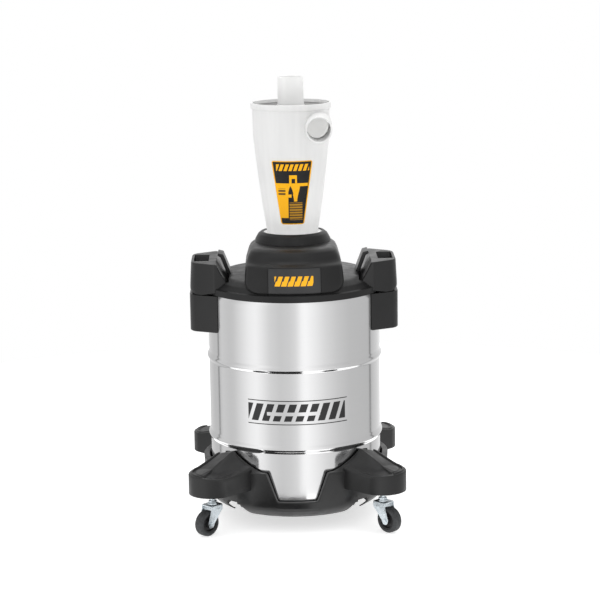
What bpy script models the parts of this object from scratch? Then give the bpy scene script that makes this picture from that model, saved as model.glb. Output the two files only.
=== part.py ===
"""Cyclone dust collector: a cyclone on the lid of a stainless drum, on a four-armed dolly with swivel casters.

Metres, +Z up. The origin is on the floor under the drum's axis. -Y is the front, where the inlet points and the
nameplate sits. The latches are at +X and -X, and the casters are on the diagonals.
"""

import math

import bmesh
import bpy
from mathutils import Matrix, Vector

# ---- Driving dimensions, in metres ----
GAP = 0.0003  # between pieces that touch
ROUND_STEPS = 40  # facets round the drum, the lid and the dolly

CASTER_XY = 0.165  # stem axes, from the drum's axis along X and along Y
CASTER_TRAIL = 0.017
WHEEL_R = 0.025
WHEEL_WIDTH = 0.020
FORK_TOP = 0.0605
FORK_SHEET = 0.0020
AXLE_HEAD = 0.0016

DRUM_R = 0.170
DRUM_WALL = 0.0012
DRUM_BASE = 0.0600
DRUM_TOP = 0.4605
BEAD_HEIGHTS = (0.166, 0.324)
BEAD_OUT = 0.0038
BEAD_HALF = 0.010

SKIRT_LOW_R = 0.153
SKIRT_R = 0.185
SKIRT_LOW = 0.027
SKIRT_TOP = 0.122
SEAT_R = 0.1725
ARM_END_R = 0.046  # the round end of each arm, about its caster
ARM_ROOT_HALF = 0.060
ARM_LOW = 0.082
ARM_ROOT_TOP = 0.153
ARM_END_TOP = 0.122
ARM_WALL = 0.004

LID_R = 0.1752
LID_LOW = 0.4548
LID_RIM_TOP = 0.4668
DECK = 0.4940
LID_WALL = 0.0035
RECESS_X = 0.1265  # inner wall of each latch recess
RECESS_HALF = 0.0865
RECESS_FLOOR = 0.4653

HOUSING_HALF = 0.0975
HOUSING_FRONT_R = 0.1735
HOUSING_CORNER_R = 0.022
HOUSING_SECTIONS = (  # each a height and the plan's scale there
    (0.4590, 1.0),
    (0.4720, 0.985),
    (0.5030, 0.948),
    (0.5200, 0.905),
    (0.5370, 0.860),
    (0.5435, 0.805),
)
HOUSING_WALL = 0.004
COLLAR_TOP = 0.5685
THROAT_R = 0.0465

PIN_X = 0.193
PIN_Z = 0.464
LATCH_HALF = 0.084
LATCH_OUT = 0.2033
LATCH_TOP = 0.516
SLOT_HALF = 0.038
SLOT_FLOOR = 0.488
PIN_HOLE_R = 0.0028
BRACKET_LOW = 0.380
BRACKET_TOP = 0.4525
RIVET_HOLE_R = 0.0026

CYCLONE_BASE = 0.5605
CYCLONE_TOP = 0.822
RIM_R = 0.0788
PORT_R = 0.0254
PORT_BORE = 0.0225
PORT_TOP = 0.872
FINDER_LOW = 0.722
INLET_X = 0.0515
INLET_Z = 0.7785
INLET_END = -0.122
INLET_DRAFT = 0.0025  # how much wider the inlet is where it leaves the body

CORNERS = {"front_left": 225, "front_right": 315, "rear_right": 45, "rear_left": 135}
SIDES = {"left": -1, "right": 1}


# ---- Scene, materials and small makers ----
def clear_scene():
    """Remove everything that the startup file holds."""
    for obj in list(bpy.data.objects):
        bpy.data.objects.remove(obj)


def new_collection(name):
    """A collection linked to the scene."""
    collection = bpy.data.collections.new(name)
    bpy.context.scene.collection.children.link(collection)
    return collection


def material(name, colour, roughness, metallic=0.0):
    """A Principled material."""
    made = bpy.data.materials.new(name)
    made.use_nodes = True
    shader = made.node_tree.nodes["Principled BSDF"]
    shader.inputs["Base Color"].default_value = (*colour, 1.0)
    shader.inputs["Roughness"].default_value = roughness
    shader.inputs["Metallic"].default_value = metallic
    return made


clear_scene()
PARTS = new_collection("Dust_collector")
CUTTERS = new_collection("Cutters")
STEEL = material("stainless_steel", (0.78, 0.78, 0.78), 0.15, 1.0)
ZINC = material("zinc_plate", (0.66, 0.70, 0.74), 0.30, 1.0)
BLACK = material("black_plastic", (0.030, 0.030, 0.032), 0.45)
HUB = material("hub_plastic", (0.015, 0.015, 0.016), 0.50)
RUBBER = material("rubber", (0.045, 0.047, 0.050), 0.80)
NATURAL = material("natural_plastic", (0.85, 0.86, 0.87), 0.35)
PLATE = material("nameplate_plastic", (0.035, 0.035, 0.038), 0.30)


def as_part(obj, name, finish):
    """Put an object among the parts, under its node name and with its material."""
    for collection in list(obj.users_collection):
        collection.objects.unlink(obj)
    PARTS.objects.link(obj)
    obj.name = name
    obj.data.materials.clear()
    obj.data.materials.append(finish)
    return obj


def as_cutter(obj):
    """Put an object among the cutters, hidden from the render."""
    for collection in list(obj.users_collection):
        collection.objects.unlink(obj)
    CUTTERS.objects.link(obj)
    obj.hide_render = True
    obj.display_type = "WIRE"
    return obj


def from_bmesh(name, bm):
    """A mesh object made of a bmesh, with its faces turned outwards."""
    bmesh.ops.recalc_face_normals(bm, faces=bm.faces)
    mesh = bpy.data.meshes.new(name)
    bm.to_mesh(mesh)
    bm.free()
    obj = bpy.data.objects.new(name, mesh)
    bpy.context.scene.collection.objects.link(obj)
    return obj


def block(name, low, high):
    """A box between two corners."""
    low, high = Vector(low), Vector(high)
    bm = bmesh.new()
    bmesh.ops.create_cube(bm, size=1.0)
    bmesh.ops.scale(bm, verts=bm.verts, vec=high - low)
    bmesh.ops.translate(bm, verts=bm.verts, vec=(low + high) / 2)
    return from_bmesh(name, bm)


def rod(name, radius, start, end, segments=24, end_radius=None):
    """A cylinder, or a cone, between two points."""
    start, end = Vector(start), Vector(end)
    bm = bmesh.new()
    bmesh.ops.create_cone(
        bm,
        cap_ends=True,
        segments=segments,
        radius1=radius,
        radius2=radius if end_radius is None else end_radius,
        depth=(end - start).length,
    )
    turn = (end - start).to_track_quat("Z", "Y").to_matrix().to_4x4()
    bmesh.ops.transform(bm, matrix=Matrix.Translation((start + end) / 2) @ turn, verts=bm.verts)
    return from_bmesh(name, bm)


def turned(name, profile, steps=48, ring=True):
    """A solid of revolution round Z. A ring's profile is a closed loop of (radius, height). Any other profile
    runs from the axis at the top, down the outer side, to the axis at the bottom."""
    mesh = bpy.data.meshes.new(name)
    links = [(i, i + 1) for i in range(len(profile) - 1)]
    if ring:
        links.append((len(profile) - 1, 0))
    mesh.from_pydata([(r, 0.0, z) for r, z in profile], links, [])
    obj = bpy.data.objects.new(name, mesh)
    bpy.context.scene.collection.objects.link(obj)
    screw = obj.modifiers.new("turn", "SCREW")
    screw.axis = "Z"
    screw.steps = steps
    screw.render_steps = steps
    screw.use_merge_vertices = True
    screw.merge_threshold = 0.00002
    return obj


def prism(name, outline, thickness, place=None):
    """A flat outline in X and Y, given a thickness about its plane and then placed by a matrix."""
    curve = bpy.data.curves.new(name, "CURVE")
    curve.dimensions = "2D"
    curve.fill_mode = "BOTH"
    curve.extrude = thickness / 2
    spline = curve.splines.new("POLY")
    spline.points.add(len(outline) - 1)
    for point, (x, y) in zip(spline.points, outline):
        point.co = (x, y, 0.0, 1.0)
    spline.use_cyclic_u = True
    guide = bpy.data.objects.new(name, curve)
    bpy.context.scene.collection.objects.link(guide)
    guide.matrix_world = place or Matrix.Identity(4)
    bpy.context.view_layer.update()
    graph = bpy.context.evaluated_depsgraph_get()
    mesh = bpy.data.meshes.new_from_object(guide.evaluated_get(graph))
    mesh.transform(guide.matrix_world)
    bpy.data.objects.remove(guide)
    bm = bmesh.new()
    bm.from_mesh(mesh)
    bmesh.ops.remove_doubles(bm, verts=bm.verts, dist=0.00001)
    return from_bmesh(name, bm)


def loft(name, sections):
    """A solid through sections: lists of as many points each, which run the same way round."""
    bm = bmesh.new()
    rings = [[bm.verts.new(point) for point in section] for section in sections]
    count = len(rings[0])
    for lower, upper in zip(rings, rings[1:]):
        for i in range(count):
            j = (i + 1) % count
            bm.faces.new((lower[i], lower[j], upper[j], upper[i]))
    bm.faces.new(list(reversed(rings[0])))
    bm.faces.new(rings[-1])
    return from_bmesh(name, bm)


def boolean(obj, other, operation="DIFFERENCE"):
    """Cut, join or intersect an object with a cutter, which is hidden."""
    modifier = obj.modifiers.new(operation.lower(), "BOOLEAN")
    modifier.operation = operation
    modifier.object = as_cutter(other)
    return obj


def arc(centre, radius, start, end, steps):
    """Points on an arc, both ends included, with angles in degrees."""
    angles = [math.radians(start + (end - start) * i / steps) for i in range(steps + 1)]
    return [(centre[0] + radius * math.cos(a), centre[1] + radius * math.sin(a)) for a in angles]


def smooth(obj, angle=35):
    """Shade a mesh smooth, with its sharper edges kept."""
    obj.data.shade_smooth()
    obj.data.set_sharp_from_angle(angle=math.radians(angle))
    return obj


# ---- Dolly ----
ARM_REACH = CASTER_XY * math.sqrt(2)
ARM_SLOPE = (ARM_ROOT_TOP - ARM_END_TOP) / (ARM_REACH + ARM_END_R - DRUM_R)


def arm_solid(name, inset, low, top_drop):
    """An arm along +X: a tapering tongue with a round end about the caster, and a top that slopes down."""
    root, half, end = 0.150, ARM_ROOT_HALF - inset, ARM_END_R - inset
    outline = [(root, -half), *arc((ARM_REACH, 0), end, -80, 80, 10), (root, half)]
    body = prism(name, outline, 0.2, Matrix.Translation((0, 0, low + 0.1)))
    reach = ARM_REACH + ARM_END_R
    wedge = prism(
        name + "_top",
        [
            (root - 0.02, ARM_ROOT_TOP - top_drop + ARM_SLOPE * (DRUM_R - root + 0.02)),
            (reach + 0.02, ARM_END_TOP - top_drop - ARM_SLOPE * 0.02),
            (reach + 0.02, 0.4),
            (root - 0.02, 0.4),
        ],
        0.3,
        Matrix.Rotation(math.pi / 2, 4, "X"),
    )
    return boolean(body, wedge)


def hollow_arm(name):
    """An arm that is open underneath, with the caster's socket standing inside it."""
    arm = arm_solid(name, 0.0, ARM_LOW, 0.0)
    inside = arm_solid(name + "_inside", ARM_WALL, ARM_LOW - 0.01, ARM_WALL)
    boolean(inside, rod(name + "_socket", 0.013, (ARM_REACH, 0, 0.06), (ARM_REACH, 0, 0.16)))
    boolean(inside, block(name + "_keep", (0.1, -0.07, 0.05), (SKIRT_R - 0.004, 0.07, 0.2)))
    boolean(arm, inside)
    return boolean(arm, rod(name + "_drum_room", SEAT_R + 0.003, (0, 0, 0.05), (0, 0, 0.3), ROUND_STEPS))


def notch_cutter(name, facing):
    """The window in the skirt: a wedge that is wider at the top, on the front or at the back."""
    outline = [(-0.038, 0.064), (0.038, 0.064), (0.056, 0.13), (-0.056, 0.13)]
    turn = Matrix.Rotation(math.pi / 2, 4, "X")
    return prism(name, outline, 0.05, Matrix.Translation((0, facing * SKIRT_R, 0)) @ turn)


def make_dolly():
    """The moulded dolly: a floor and a skirt round the drum, and four arms for the casters."""
    skirt = [
        (0.0, DRUM_BASE - GAP),
        (SEAT_R, DRUM_BASE - GAP),
        (SEAT_R, SKIRT_TOP - 0.003),
        (SEAT_R + 0.003, SKIRT_TOP),
        (SKIRT_R - 0.003, SKIRT_TOP),
        (SKIRT_R, SKIRT_TOP - 0.003),
        (SKIRT_R - 0.003, 0.062),
        (SKIRT_LOW_R, SKIRT_LOW),
        (SKIRT_LOW_R - 0.004, SKIRT_LOW),
        (SEAT_R - 0.002, 0.0535),
        (0.0, 0.0535),
    ]
    dolly = turned("dolly", skirt, ROUND_STEPS, ring=False)
    for corner, angle in CORNERS.items():
        turn = Matrix.Rotation(math.radians(angle), 4, "Z")
        arm = hollow_arm("arm_" + corner)
        turn_with_cutters(arm, turn)
        boolean(dolly, arm, "UNION")
        relief = block("relief_" + corner, (0.135, -0.030, 0.02), (0.200, 0.030, 0.045))
        relief.data.transform(turn)
        boolean(dolly, relief)
        at = turn @ Vector((ARM_REACH, 0, 0))
        boolean(dolly, rod("stem_hole_" + corner, 0.0056, (at.x, at.y, 0.05), (at.x, at.y, 0.113)))
    boolean(dolly, notch_cutter("notch_front", -1))
    boolean(dolly, notch_cutter("notch_rear", 1))
    for x, y in screw_places():
        boolean(dolly, rod("screw_hole", 0.0034, (x, y, 0.04), (x, y, 0.07), 12))
    return as_part(dolly, "dolly", BLACK)


def turn_with_cutters(obj, turn):
    """Turn an object's mesh and those of its own cutters."""
    obj.data.transform(turn)
    for modifier in obj.modifiers:
        if modifier.type == "BOOLEAN" and not modifier.object.get("turned"):
            modifier.object["turned"] = True
            turn_with_cutters(modifier.object, turn)


# ---- Drum ----
def screw_places():
    """Where the four screws hold the drum down on the dolly."""
    return arc((0, 0), 0.11, 45, 315, 3)


def bead(height, out):
    """Profile points of one rolled bead, from its upper edge down. It stands out by a cosine curve."""
    steps = 4
    points = []
    for i in range(steps + 1):
        t = 1 - 2 * i / steps
        bulge = BEAD_OUT * (1 + math.cos(math.pi * t)) / 2
        points.append((out + bulge, height + BEAD_HALF * t))
    return points


def make_drum():
    """The drum's wall, with its curled rim and two beads, and its base, screwed to the dolly."""
    inner = DRUM_R - DRUM_WALL
    outside = [(DRUM_R, 0.4545), (DRUM_R + 0.0026, 0.4560), (DRUM_R + 0.0026, 0.4590), (inner, DRUM_TOP)]
    wall = [*reversed(outside)]
    for height in reversed(BEAD_HEIGHTS):
        wall += bead(height, DRUM_R)
    wall += [(DRUM_R, DRUM_BASE + 0.0015), (inner, DRUM_BASE + 0.0015)]
    for height in BEAD_HEIGHTS:
        wall += reversed(bead(height, inner))
    drum = turned("drum_wall", wall, ROUND_STEPS)
    for side in SIDES.values():
        for y in (-1, 1):
            at = rivet_point(side, y)
            away = Vector((at.x, at.y, 0)).normalized() * 0.01
            boolean(drum, rod("rivet_hole", RIVET_HOLE_R, at - away, at + away, 12))
    as_part(drum, "drum_wall", STEEL)

    base = [
        (0.0, 0.0640),
        (inner - 0.004, 0.0640),
        (inner - GAP, 0.0680),
        (inner - GAP, DRUM_BASE),
        (0.0, DRUM_BASE),
    ]
    base = turned("drum_base", base, ROUND_STEPS, ring=False)
    for i, (x, y) in enumerate(screw_places()):
        boolean(base, rod("base_hole", 0.0029, (x, y, 0.05), (x, y, 0.08), 12))
        screw = rod("base_screw", 0.0026, (x, y, 0.0515), (x, y, 0.0655), 12)
        boolean(screw, rod("screw_head", 0.0055, (x, y, 0.0500), (x, y, 0.0532), 12), "UNION")
        as_part(screw, f"base_screw_{i + 1}", ZINC)
    as_part(base, "drum_base", STEEL)


# ---- Latch brackets, on the drum ----
def rivet_point(side, y):
    """Where a rivet goes through the drum's wall, in the middle of a facet and of the wall's thickness."""
    angle = 1.5 * 2 * math.pi / ROUND_STEPS
    radius = (DRUM_R - DRUM_WALL / 2) * math.cos(math.pi / ROUND_STEPS)
    return Vector((side * radius * math.cos(angle), y * radius * math.sin(angle), 0.415))


def latch_outline(grow=0.0):
    """The latch's plan at +X: wide at the drum, with cut corners that round into the outer side."""
    out, half = LATCH_OUT + grow, LATCH_HALF + grow
    bend, middle_x, middle_y = 0.030, out - 0.030, 0.036 + grow
    front = arc((middle_x, -middle_y), bend, -50, 0, 4)
    rear = arc((middle_x, middle_y), bend, 0, 50, 4)
    return [(0.120, -half), (0.150, -half), *front, *rear, (0.150, half), (0.120, half)]


def make_bracket(side_name, side):
    """The cover riveted to the drum below a latch: a shell, open underneath, that stands off the drum."""
    height = BRACKET_TOP - BRACKET_LOW
    middle = (BRACKET_TOP + BRACKET_LOW) / 2
    bracket = prism("bracket", latch_outline(0.0012), height, Matrix.Translation((0, 0, middle)))
    room = prism("bracket_room", latch_outline(-0.0030), height, Matrix.Translation((0, 0, middle - 0.004)))
    pad = rod("bracket_pad", 0.1785, (0, 0, 0.3), (0, 0, 0.5), ROUND_STEPS)
    boolean(room, pad)
    boolean(bracket, room)
    boolean(bracket, rod("drum_side", DRUM_R + 0.0005, (0, 0, 0.3), (0, 0, 0.5), ROUND_STEPS))
    window = block("bracket_window", (0.14, -0.020, BRACKET_LOW - 0.01), (0.182, 0.020, BRACKET_TOP - 0.010))
    boolean(bracket, window)
    for y in (-1, 1):
        at = rivet_point(1, y)
        away = Vector((at.x, at.y, 0)).normalized()
        boolean(bracket, rod("rivet_hole", RIVET_HOLE_R, at, at + away * 0.02, 12))
        at = rivet_point(side, y)
        away = Vector((at.x, at.y, 0)).normalized()
        rivet = rod("rivet", 0.0023, at - away * 0.0020, at + away * 0.0105, 12)
        boolean(rivet, rod("rivet_head", 0.0045, at - away * 0.0030, at - away * 0.0011, 12), "UNION")
        as_part(rivet, f"{side_name}_rivet_{'front' if y < 0 else 'rear'}", ZINC)
    if side < 0:
        turn_with_cutters(bracket, Matrix.Rotation(math.pi, 4, "Z"))
    as_part(bracket, side_name + "_bracket", BLACK)


# ---- Lid ----
def housing_outline():
    """The housing's plan: round at the back, straight at the sides, and an arc about the axis at the front."""
    corner_x = HOUSING_HALF - HOUSING_CORNER_R
    corner_y = -math.sqrt((HOUSING_FRONT_R - HOUSING_CORNER_R) ** 2 - corner_x**2)
    turn = math.degrees(math.atan2(-corner_y, corner_x))
    back = arc((0, 0), HOUSING_HALF, 0, 180, 14)
    left = arc((-corner_x, corner_y), HOUSING_CORNER_R, 180, 180 + turn, 4)
    front = arc((0, 0), HOUSING_FRONT_R, 180 + turn, 360 - turn, 10)
    right = arc((corner_x, corner_y), HOUSING_CORNER_R, 360 - turn, 360, 4)
    return back + left + front[1:-1] + right


def housing_solid(name, inset=0.0, low=None, top_drop=0.0):
    """The housing's solid through its sections, inset on all sides and lowered at the top."""
    sections = []
    for height, scale in HOUSING_SECTIONS:
        shrink = scale - inset / HOUSING_HALF
        z = height - top_drop if height > HOUSING_SECTIONS[0][0] else (low or height)
        sections.append([(x * shrink, y * shrink, z) for x, y in housing_outline()])
    return loft(name, sections)


def lid_dome(name, drop, radius_drop, low):
    """The lid's turned body: a rim, a shoulder and a slightly domed deck."""
    r, d = LID_R - radius_drop, DECK - drop
    rim_top = LID_RIM_TOP - drop
    profile = [
        (0.0, d + 0.0040),
        (0.100, d + 0.0020),
        (0.148, d - 0.0015),
        (0.157 - radius_drop, d - 0.0055),
        (0.165 - radius_drop, d - 0.0140),
        (0.170 - radius_drop, rim_top + 0.0020),
        (r - 0.0015, rim_top),
        (r, rim_top - 0.0015),
        (r, low),
        (0.0, low),
    ]
    return turned(name, profile, ROUND_STEPS, ring=False)


def make_lid():
    """The lid: rim, deck, housing and collar in one moulding, hollow inside, with a recess at each latch."""
    lid = lid_dome("lid", 0.0, 0.0, LID_LOW)
    boolean(lid, housing_solid("housing"), "UNION")
    collar = [
        (0.0, COLLAR_TOP),
        (0.0620, COLLAR_TOP),
        (0.0670, COLLAR_TOP - 0.0020),
        (0.0710, COLLAR_TOP - 0.0070),
        (0.0755, COLLAR_TOP - 0.0160),
        (0.0770, COLLAR_TOP - 0.0230),
        (0.0770, 0.530),
        (0.0, 0.530),
    ]
    boolean(lid, turned("collar", collar, 32, ring=False), "UNION")

    # The cavity stops short of the latch recesses, whose walls and floors stay.
    cavity = lid_dome("lid_cavity", LID_WALL, 0.0122, LID_LOW - 0.02)
    boolean(cavity, housing_solid("housing_cavity", HOUSING_WALL, LID_LOW - 0.015, HOUSING_WALL), "UNION")
    for side in SIDES.values():
        low_x, high_x = sorted((side * (RECESS_X - LID_WALL), side * 0.20))
        edge = RECESS_HALF + LID_WALL
        boolean(cavity, block("recess_wall", (low_x, -edge, RECESS_FLOOR - LID_WALL), (high_x, edge, 0.6)))
    boolean(lid, cavity)
    for side in SIDES.values():
        low_x, high_x = sorted((side * RECESS_X, side * 0.20))
        boolean(lid, block("recess", (low_x, -RECESS_HALF, RECESS_FLOOR), (high_x, RECESS_HALF, 0.6)))
        boolean(lid, lid_ear(side), "UNION")
        boolean(lid, rod("pin_hole", PIN_HOLE_R, (side * PIN_X, -0.05, PIN_Z), (side * PIN_X, 0.05, PIN_Z), 16))
    rim_room = [(0.1662, 0.44), (0.1662, 0.4635), (0.1732, 0.4635), (0.1732, 0.44)]
    boolean(lid, turned("rim_room", rim_room, ROUND_STEPS))
    boolean(lid, rod("flange_seat", 0.0593, (0, 0, 0.5570), (0, 0, 0.6), 32))
    boolean(lid, rod("collar_room", 0.0715, (0, 0, 0.520), (0, 0, 0.5510), 32))
    boolean(lid, rod("throat", THROAT_R, (0, 0, 0.5), (0, 0, 0.6), 32))
    return as_part(lid, "lid", BLACK)


def lid_ear(side):
    """The lug on the lid's rim that carries a latch's pin, rounded about the pin."""
    reach = PIN_X - (LID_R - 0.004)
    outline = [*arc((0, 0), 0.0060, -90, 90, 8), (-reach, 0.0060), (-reach, -0.0060)]
    place = Matrix.Translation((side * PIN_X, 0, PIN_Z)) @ Matrix.Rotation(math.pi / 2, 4, "X")
    if side < 0:
        place = place @ Matrix.Rotation(math.pi, 4, "Y")
    return prism("ear", outline, 0.060, place)


def make_lid_fittings():
    """The rubber seal on the drum's rim, the nameplate and the two clips behind the latches."""
    seal = [(0.1666, 0.4632), (0.1728, 0.4632), (0.1728, 0.4608), (0.1666, 0.4608)]
    as_part(turned("lid_seal", seal, ROUND_STEPS), "lid_seal", RUBBER)

    plate = housing_solid("nameplate", -0.0011)
    boolean(plate, housing_solid("plate_back", -GAP))
    window = block("plate_window", (-0.0510, -0.2, 0.4715), (0.0510, -0.12, 0.5190))
    boolean(plate, window, "INTERSECT")
    as_part(plate, "nameplate", PLATE)

    for side_name, side in SIDES.items():
        outline = [
            (0.1210, 0.4965),
            (0.1300, 0.4965),
            (0.1372, 0.5235),
            (0.1418, 0.5262),
            (0.1402, 0.5292),
            (0.1330, 0.5275),
        ]
        clip = prism("clip", [(side * x, z) for x, z in outline], 0.048, Matrix.Rotation(math.pi / 2, 4, "X"))
        as_part(clip, side_name + "_latch_clip", BLACK)


# ---- Latches, on the lid ----
def latch_side_view():
    """The lever in side view at +X: round about its pin, stepped over the lid's rim, and leaning inwards."""
    nose = arc((PIN_X, PIN_Z), LATCH_OUT - PIN_X, 0, -90, 5)
    top_in, top_out = 0.1510, 0.2005
    step_x, foot_in, foot_z = 0.1800, 0.1290, 0.4662
    foot = [(step_x, nose[-1][1]), (step_x, foot_z), (foot_in, foot_z)]
    return [(top_out, LATCH_TOP), *nose, *foot, (top_in, LATCH_TOP)]


def make_latch(side_name, side):
    """The lever that locks the lid: a block with a finger slot in its top, which swings out about its pin."""
    upright = Matrix.Rotation(math.pi / 2, 4, "X")
    lever = prism("latch", latch_side_view(), 2 * LATCH_HALF, upright)
    plan = prism("latch_plan", latch_outline(), 0.2, Matrix.Translation((0, 0, 0.5)))
    boolean(lever, plan, "INTERSECT")
    boolean(lever, block("finger_slot", (0.1660, -SLOT_HALF, SLOT_FLOOR), (0.1965, SLOT_HALF, 0.53)))
    boolean(lever, block("ear_room", (0.1500, -0.0315, 0.44), (PIN_X + 0.0075, 0.0315, 0.4720)))
    boolean(lever, rod("pin_hole", PIN_HOLE_R, (PIN_X, -0.0405, PIN_Z), (PIN_X, 0.0405, PIN_Z), 16))
    for y in (-1, 1):
        low_y, high_y = sorted((y * 0.046, y * 0.074))
        boolean(lever, block("lightening", (0.1500, low_y, 0.46), (0.1700, high_y, 0.507)))
    if side < 0:
        turn_with_cutters(lever, Matrix.Rotation(math.pi, 4, "Z"))
    as_part(lever, side_name + "_latch", BLACK)
    pin = rod("pin", 0.0025, (side * PIN_X, -0.0400, PIN_Z), (side * PIN_X, 0.0400, PIN_Z), 16)
    as_part(pin, side_name + "_latch_pin", ZINC)


# ---- Cyclone, on the lid ----
def make_cyclone():
    """The cyclone: a tapered body with a tangential inlet, a cover with the outlet tube, a gasket and a nut."""
    outside = [
        (RIM_R - 0.0006, CYCLONE_TOP),
        (RIM_R, CYCLONE_TOP - 0.0010),
        (RIM_R, 0.8115),
        (0.0757, 0.8085),
        (0.0745, 0.7570),
        (0.0730, 0.7400),
        (0.0712, 0.7240),
        (0.0675, 0.6930),
        (0.0620, 0.6470),
        (0.0560, 0.6050),
        (0.0512, 0.5750),
        (0.0508, 0.5665),
        (0.0588, 0.5665),
        (0.0588, CYCLONE_BASE),
        (THROAT_R - 0.0004, CYCLONE_BASE),
        (THROAT_R - 0.0004, 0.5400),
    ]
    inside = [
        (0.0430, 0.5400),
        (0.0440, 0.5600),
        (0.0530, 0.6050),
        (0.0590, 0.6470),
        (0.0645, 0.6930),
        (0.0682, 0.7240),
        (0.0715, 0.7570),
        (0.0722, 0.8120),
        (0.0754, 0.8120),
        (0.0754, CYCLONE_TOP),
    ]
    body = turned("cyclone_body", outside + inside, 32)
    inlet_start, inlet_end = (INLET_X, 0.004, INLET_Z), (INLET_X, INLET_END, INLET_Z)
    tube_out = rod("inlet_out", PORT_R + INLET_DRAFT, inlet_start, inlet_end, 24, PORT_R)
    bulk = [(0.0, 0.8160), (0.0736, 0.8160), (0.0730, 0.7570), (0.0697, 0.7240), (0.0, 0.7240)]
    bulk = turned("body_inside", bulk, 32, ring=False)
    boolean(tube_out, bulk)
    boolean(body, tube_out, "UNION")
    bore_start, bore_end = (INLET_X - 0.004, 0.0, INLET_Z), (INLET_X, INLET_END - 0.01, INLET_Z)
    boolean(body, rod("inlet_bore", PORT_BORE, bore_start, bore_end, 24))
    as_part(body, "cyclone_body", NATURAL)

    cover = [
        (PORT_BORE, PORT_TOP),
        (PORT_R - 0.0004, PORT_TOP),
        (PORT_R, PORT_TOP - 0.0006),
        (PORT_R + 0.0012, 0.8155),
        (0.0750, 0.8155),
        (0.0750, 0.8123),
        (PORT_R, 0.8123),
        (PORT_R, FINDER_LOW),
        (PORT_BORE, FINDER_LOW),
    ]
    as_part(turned("cyclone_cover", cover, 32), "cyclone_cover", NATURAL)
    gasket = [(0.0485, 0.5602), (0.0585, 0.5602), (0.0585, 0.5573), (0.0485, 0.5573)]
    as_part(turned("cyclone_gasket", gasket, 32), "cyclone_gasket", RUBBER)
    nut = [
        (THROAT_R - 0.0001, 0.5505),
        (0.0520, 0.5505),
        (0.0520, 0.5450),
        (THROAT_R - 0.0001, 0.5450),
    ]
    as_part(turned("cyclone_ring_nut", nut, 32), "cyclone_ring_nut", BLACK)


# ---- Casters ----
def leg_outline():
    """A fork leg in side view: wide under the top plate and tapering to a round end about the axle."""
    plate_z = FORK_TOP - 0.0025
    foot = arc((CASTER_TRAIL, WHEEL_R), 0.0075, -110, 20, 5)
    return [(-0.0130, plate_z), (-0.0100, plate_z - 0.010), *foot, (0.0170, plate_z - 0.004), (0.0160, plate_z)]


def make_caster(corner, angle):
    """One swivel caster, built about its stem's axis with the wheel trailing along +X, then turned."""
    turn = Matrix.Rotation(math.radians(angle), 4, "Z")
    place = turn @ Matrix.Translation((ARM_REACH, 0, 0))
    leg_y = WHEEL_WIDTH / 2 + 0.0022

    stem = rod("stem", 0.0050, (0, 0, 0.0540), (0, 0, 0.1120), 12)
    boolean(stem, rod("stem_foot", 0.0070, (0, 0, 0.0535), (0, 0, 0.0575 - GAP), 12), "UNION")
    boolean(stem, rod("stem_nut", 0.0085, (0, 0, FORK_TOP + GAP), (0, 0, FORK_TOP + 0.0065), 6), "UNION")

    plate_half = leg_y + FORK_SHEET + GAP
    fork = block("fork", (-0.0140, -plate_half, FORK_TOP - 0.0028), (0.0170, plate_half, FORK_TOP))
    for y in (-1, 1):
        middle = Matrix.Translation((0, y * (leg_y + FORK_SHEET / 2), 0))
        upright = middle @ Matrix.Rotation(math.pi / 2, 4, "X")
        boolean(fork, prism("leg", leg_outline(), FORK_SHEET, upright), "UNION")
    boolean(fork, rod("stem_hole", 0.0056, (0, 0, 0.05), (0, 0, 0.07), 12))
    axle_ends = [(CASTER_TRAIL, -0.05, WHEEL_R), (CASTER_TRAIL, 0.05, WHEEL_R)]
    boolean(fork, rod("axle_hole", 0.0033, *axle_ends, 8))

    outer = leg_y + FORK_SHEET + GAP
    reach = outer + 0.001
    axle = rod("axle", 0.0029, (CASTER_TRAIL, -reach, WHEEL_R), (CASTER_TRAIL, reach, WHEEL_R), 8)
    for y in (-1, 1):
        inner_end = (CASTER_TRAIL, y * outer, WHEEL_R)
        outer_end = (CASTER_TRAIL, y * (outer + AXLE_HEAD), WHEEL_R)
        boolean(axle, rod("axle_head", 0.0048, inner_end, outer_end, 10), "UNION")

    lay = Matrix.Translation((CASTER_TRAIL, 0, WHEEL_R)) @ Matrix.Rotation(math.pi / 2, 4, "X")
    half = WHEEL_WIDTH / 2
    rim = WHEEL_R - 0.0070
    bore, boss, dish = 0.0033, 0.0080, half - 0.006
    upper = [(bore, half), (boss, half), (boss, dish), (rim - 0.003, dish), (rim - 0.003, half - 0.001)]
    upper.append((rim, half - 0.001))
    hub = turned("hub", upper + [(r, -z) for r, z in reversed(upper)], 16)
    upper = [(rim + GAP, half), (WHEEL_R - 0.003, half), (WHEEL_R, half - 0.005)]
    tyre = turned("tyre", upper + [(r, -z) for r, z in reversed(upper)], 16)
    for piece in (stem, fork, axle):
        turn_with_cutters(piece, place)
    for piece in (hub, tyre):
        piece.matrix_world = place @ lay
    as_part(stem, corner + "_caster_stem", ZINC)
    as_part(fork, corner + "_caster_fork", ZINC)
    as_part(axle, corner + "_axle", ZINC)
    as_part(hub, corner + "_wheel_hub", HUB)
    as_part(tyre, corner + "_tyre", RUBBER)


def main():
    make_dolly()
    make_drum()
    make_lid()
    make_lid_fittings()
    make_cyclone()
    for side_name, side in SIDES.items():
        make_bracket(side_name, side)
        make_latch(side_name, side)
    for corner, angle in CORNERS.items():
        make_caster(corner, angle)
    for obj in PARTS.objects:
        smooth(obj)


main()
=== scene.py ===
"""The looks of a small workshop dust collector: a cyclone on the lid of a steel drum, on a four-armed dolly.

Every piece is worked out in metres in the frame that the CAD model gives: +Z up, -Y the front.
"""

import math

import bmesh
import bpy
import numpy as np
from mathutils import Matrix


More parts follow.
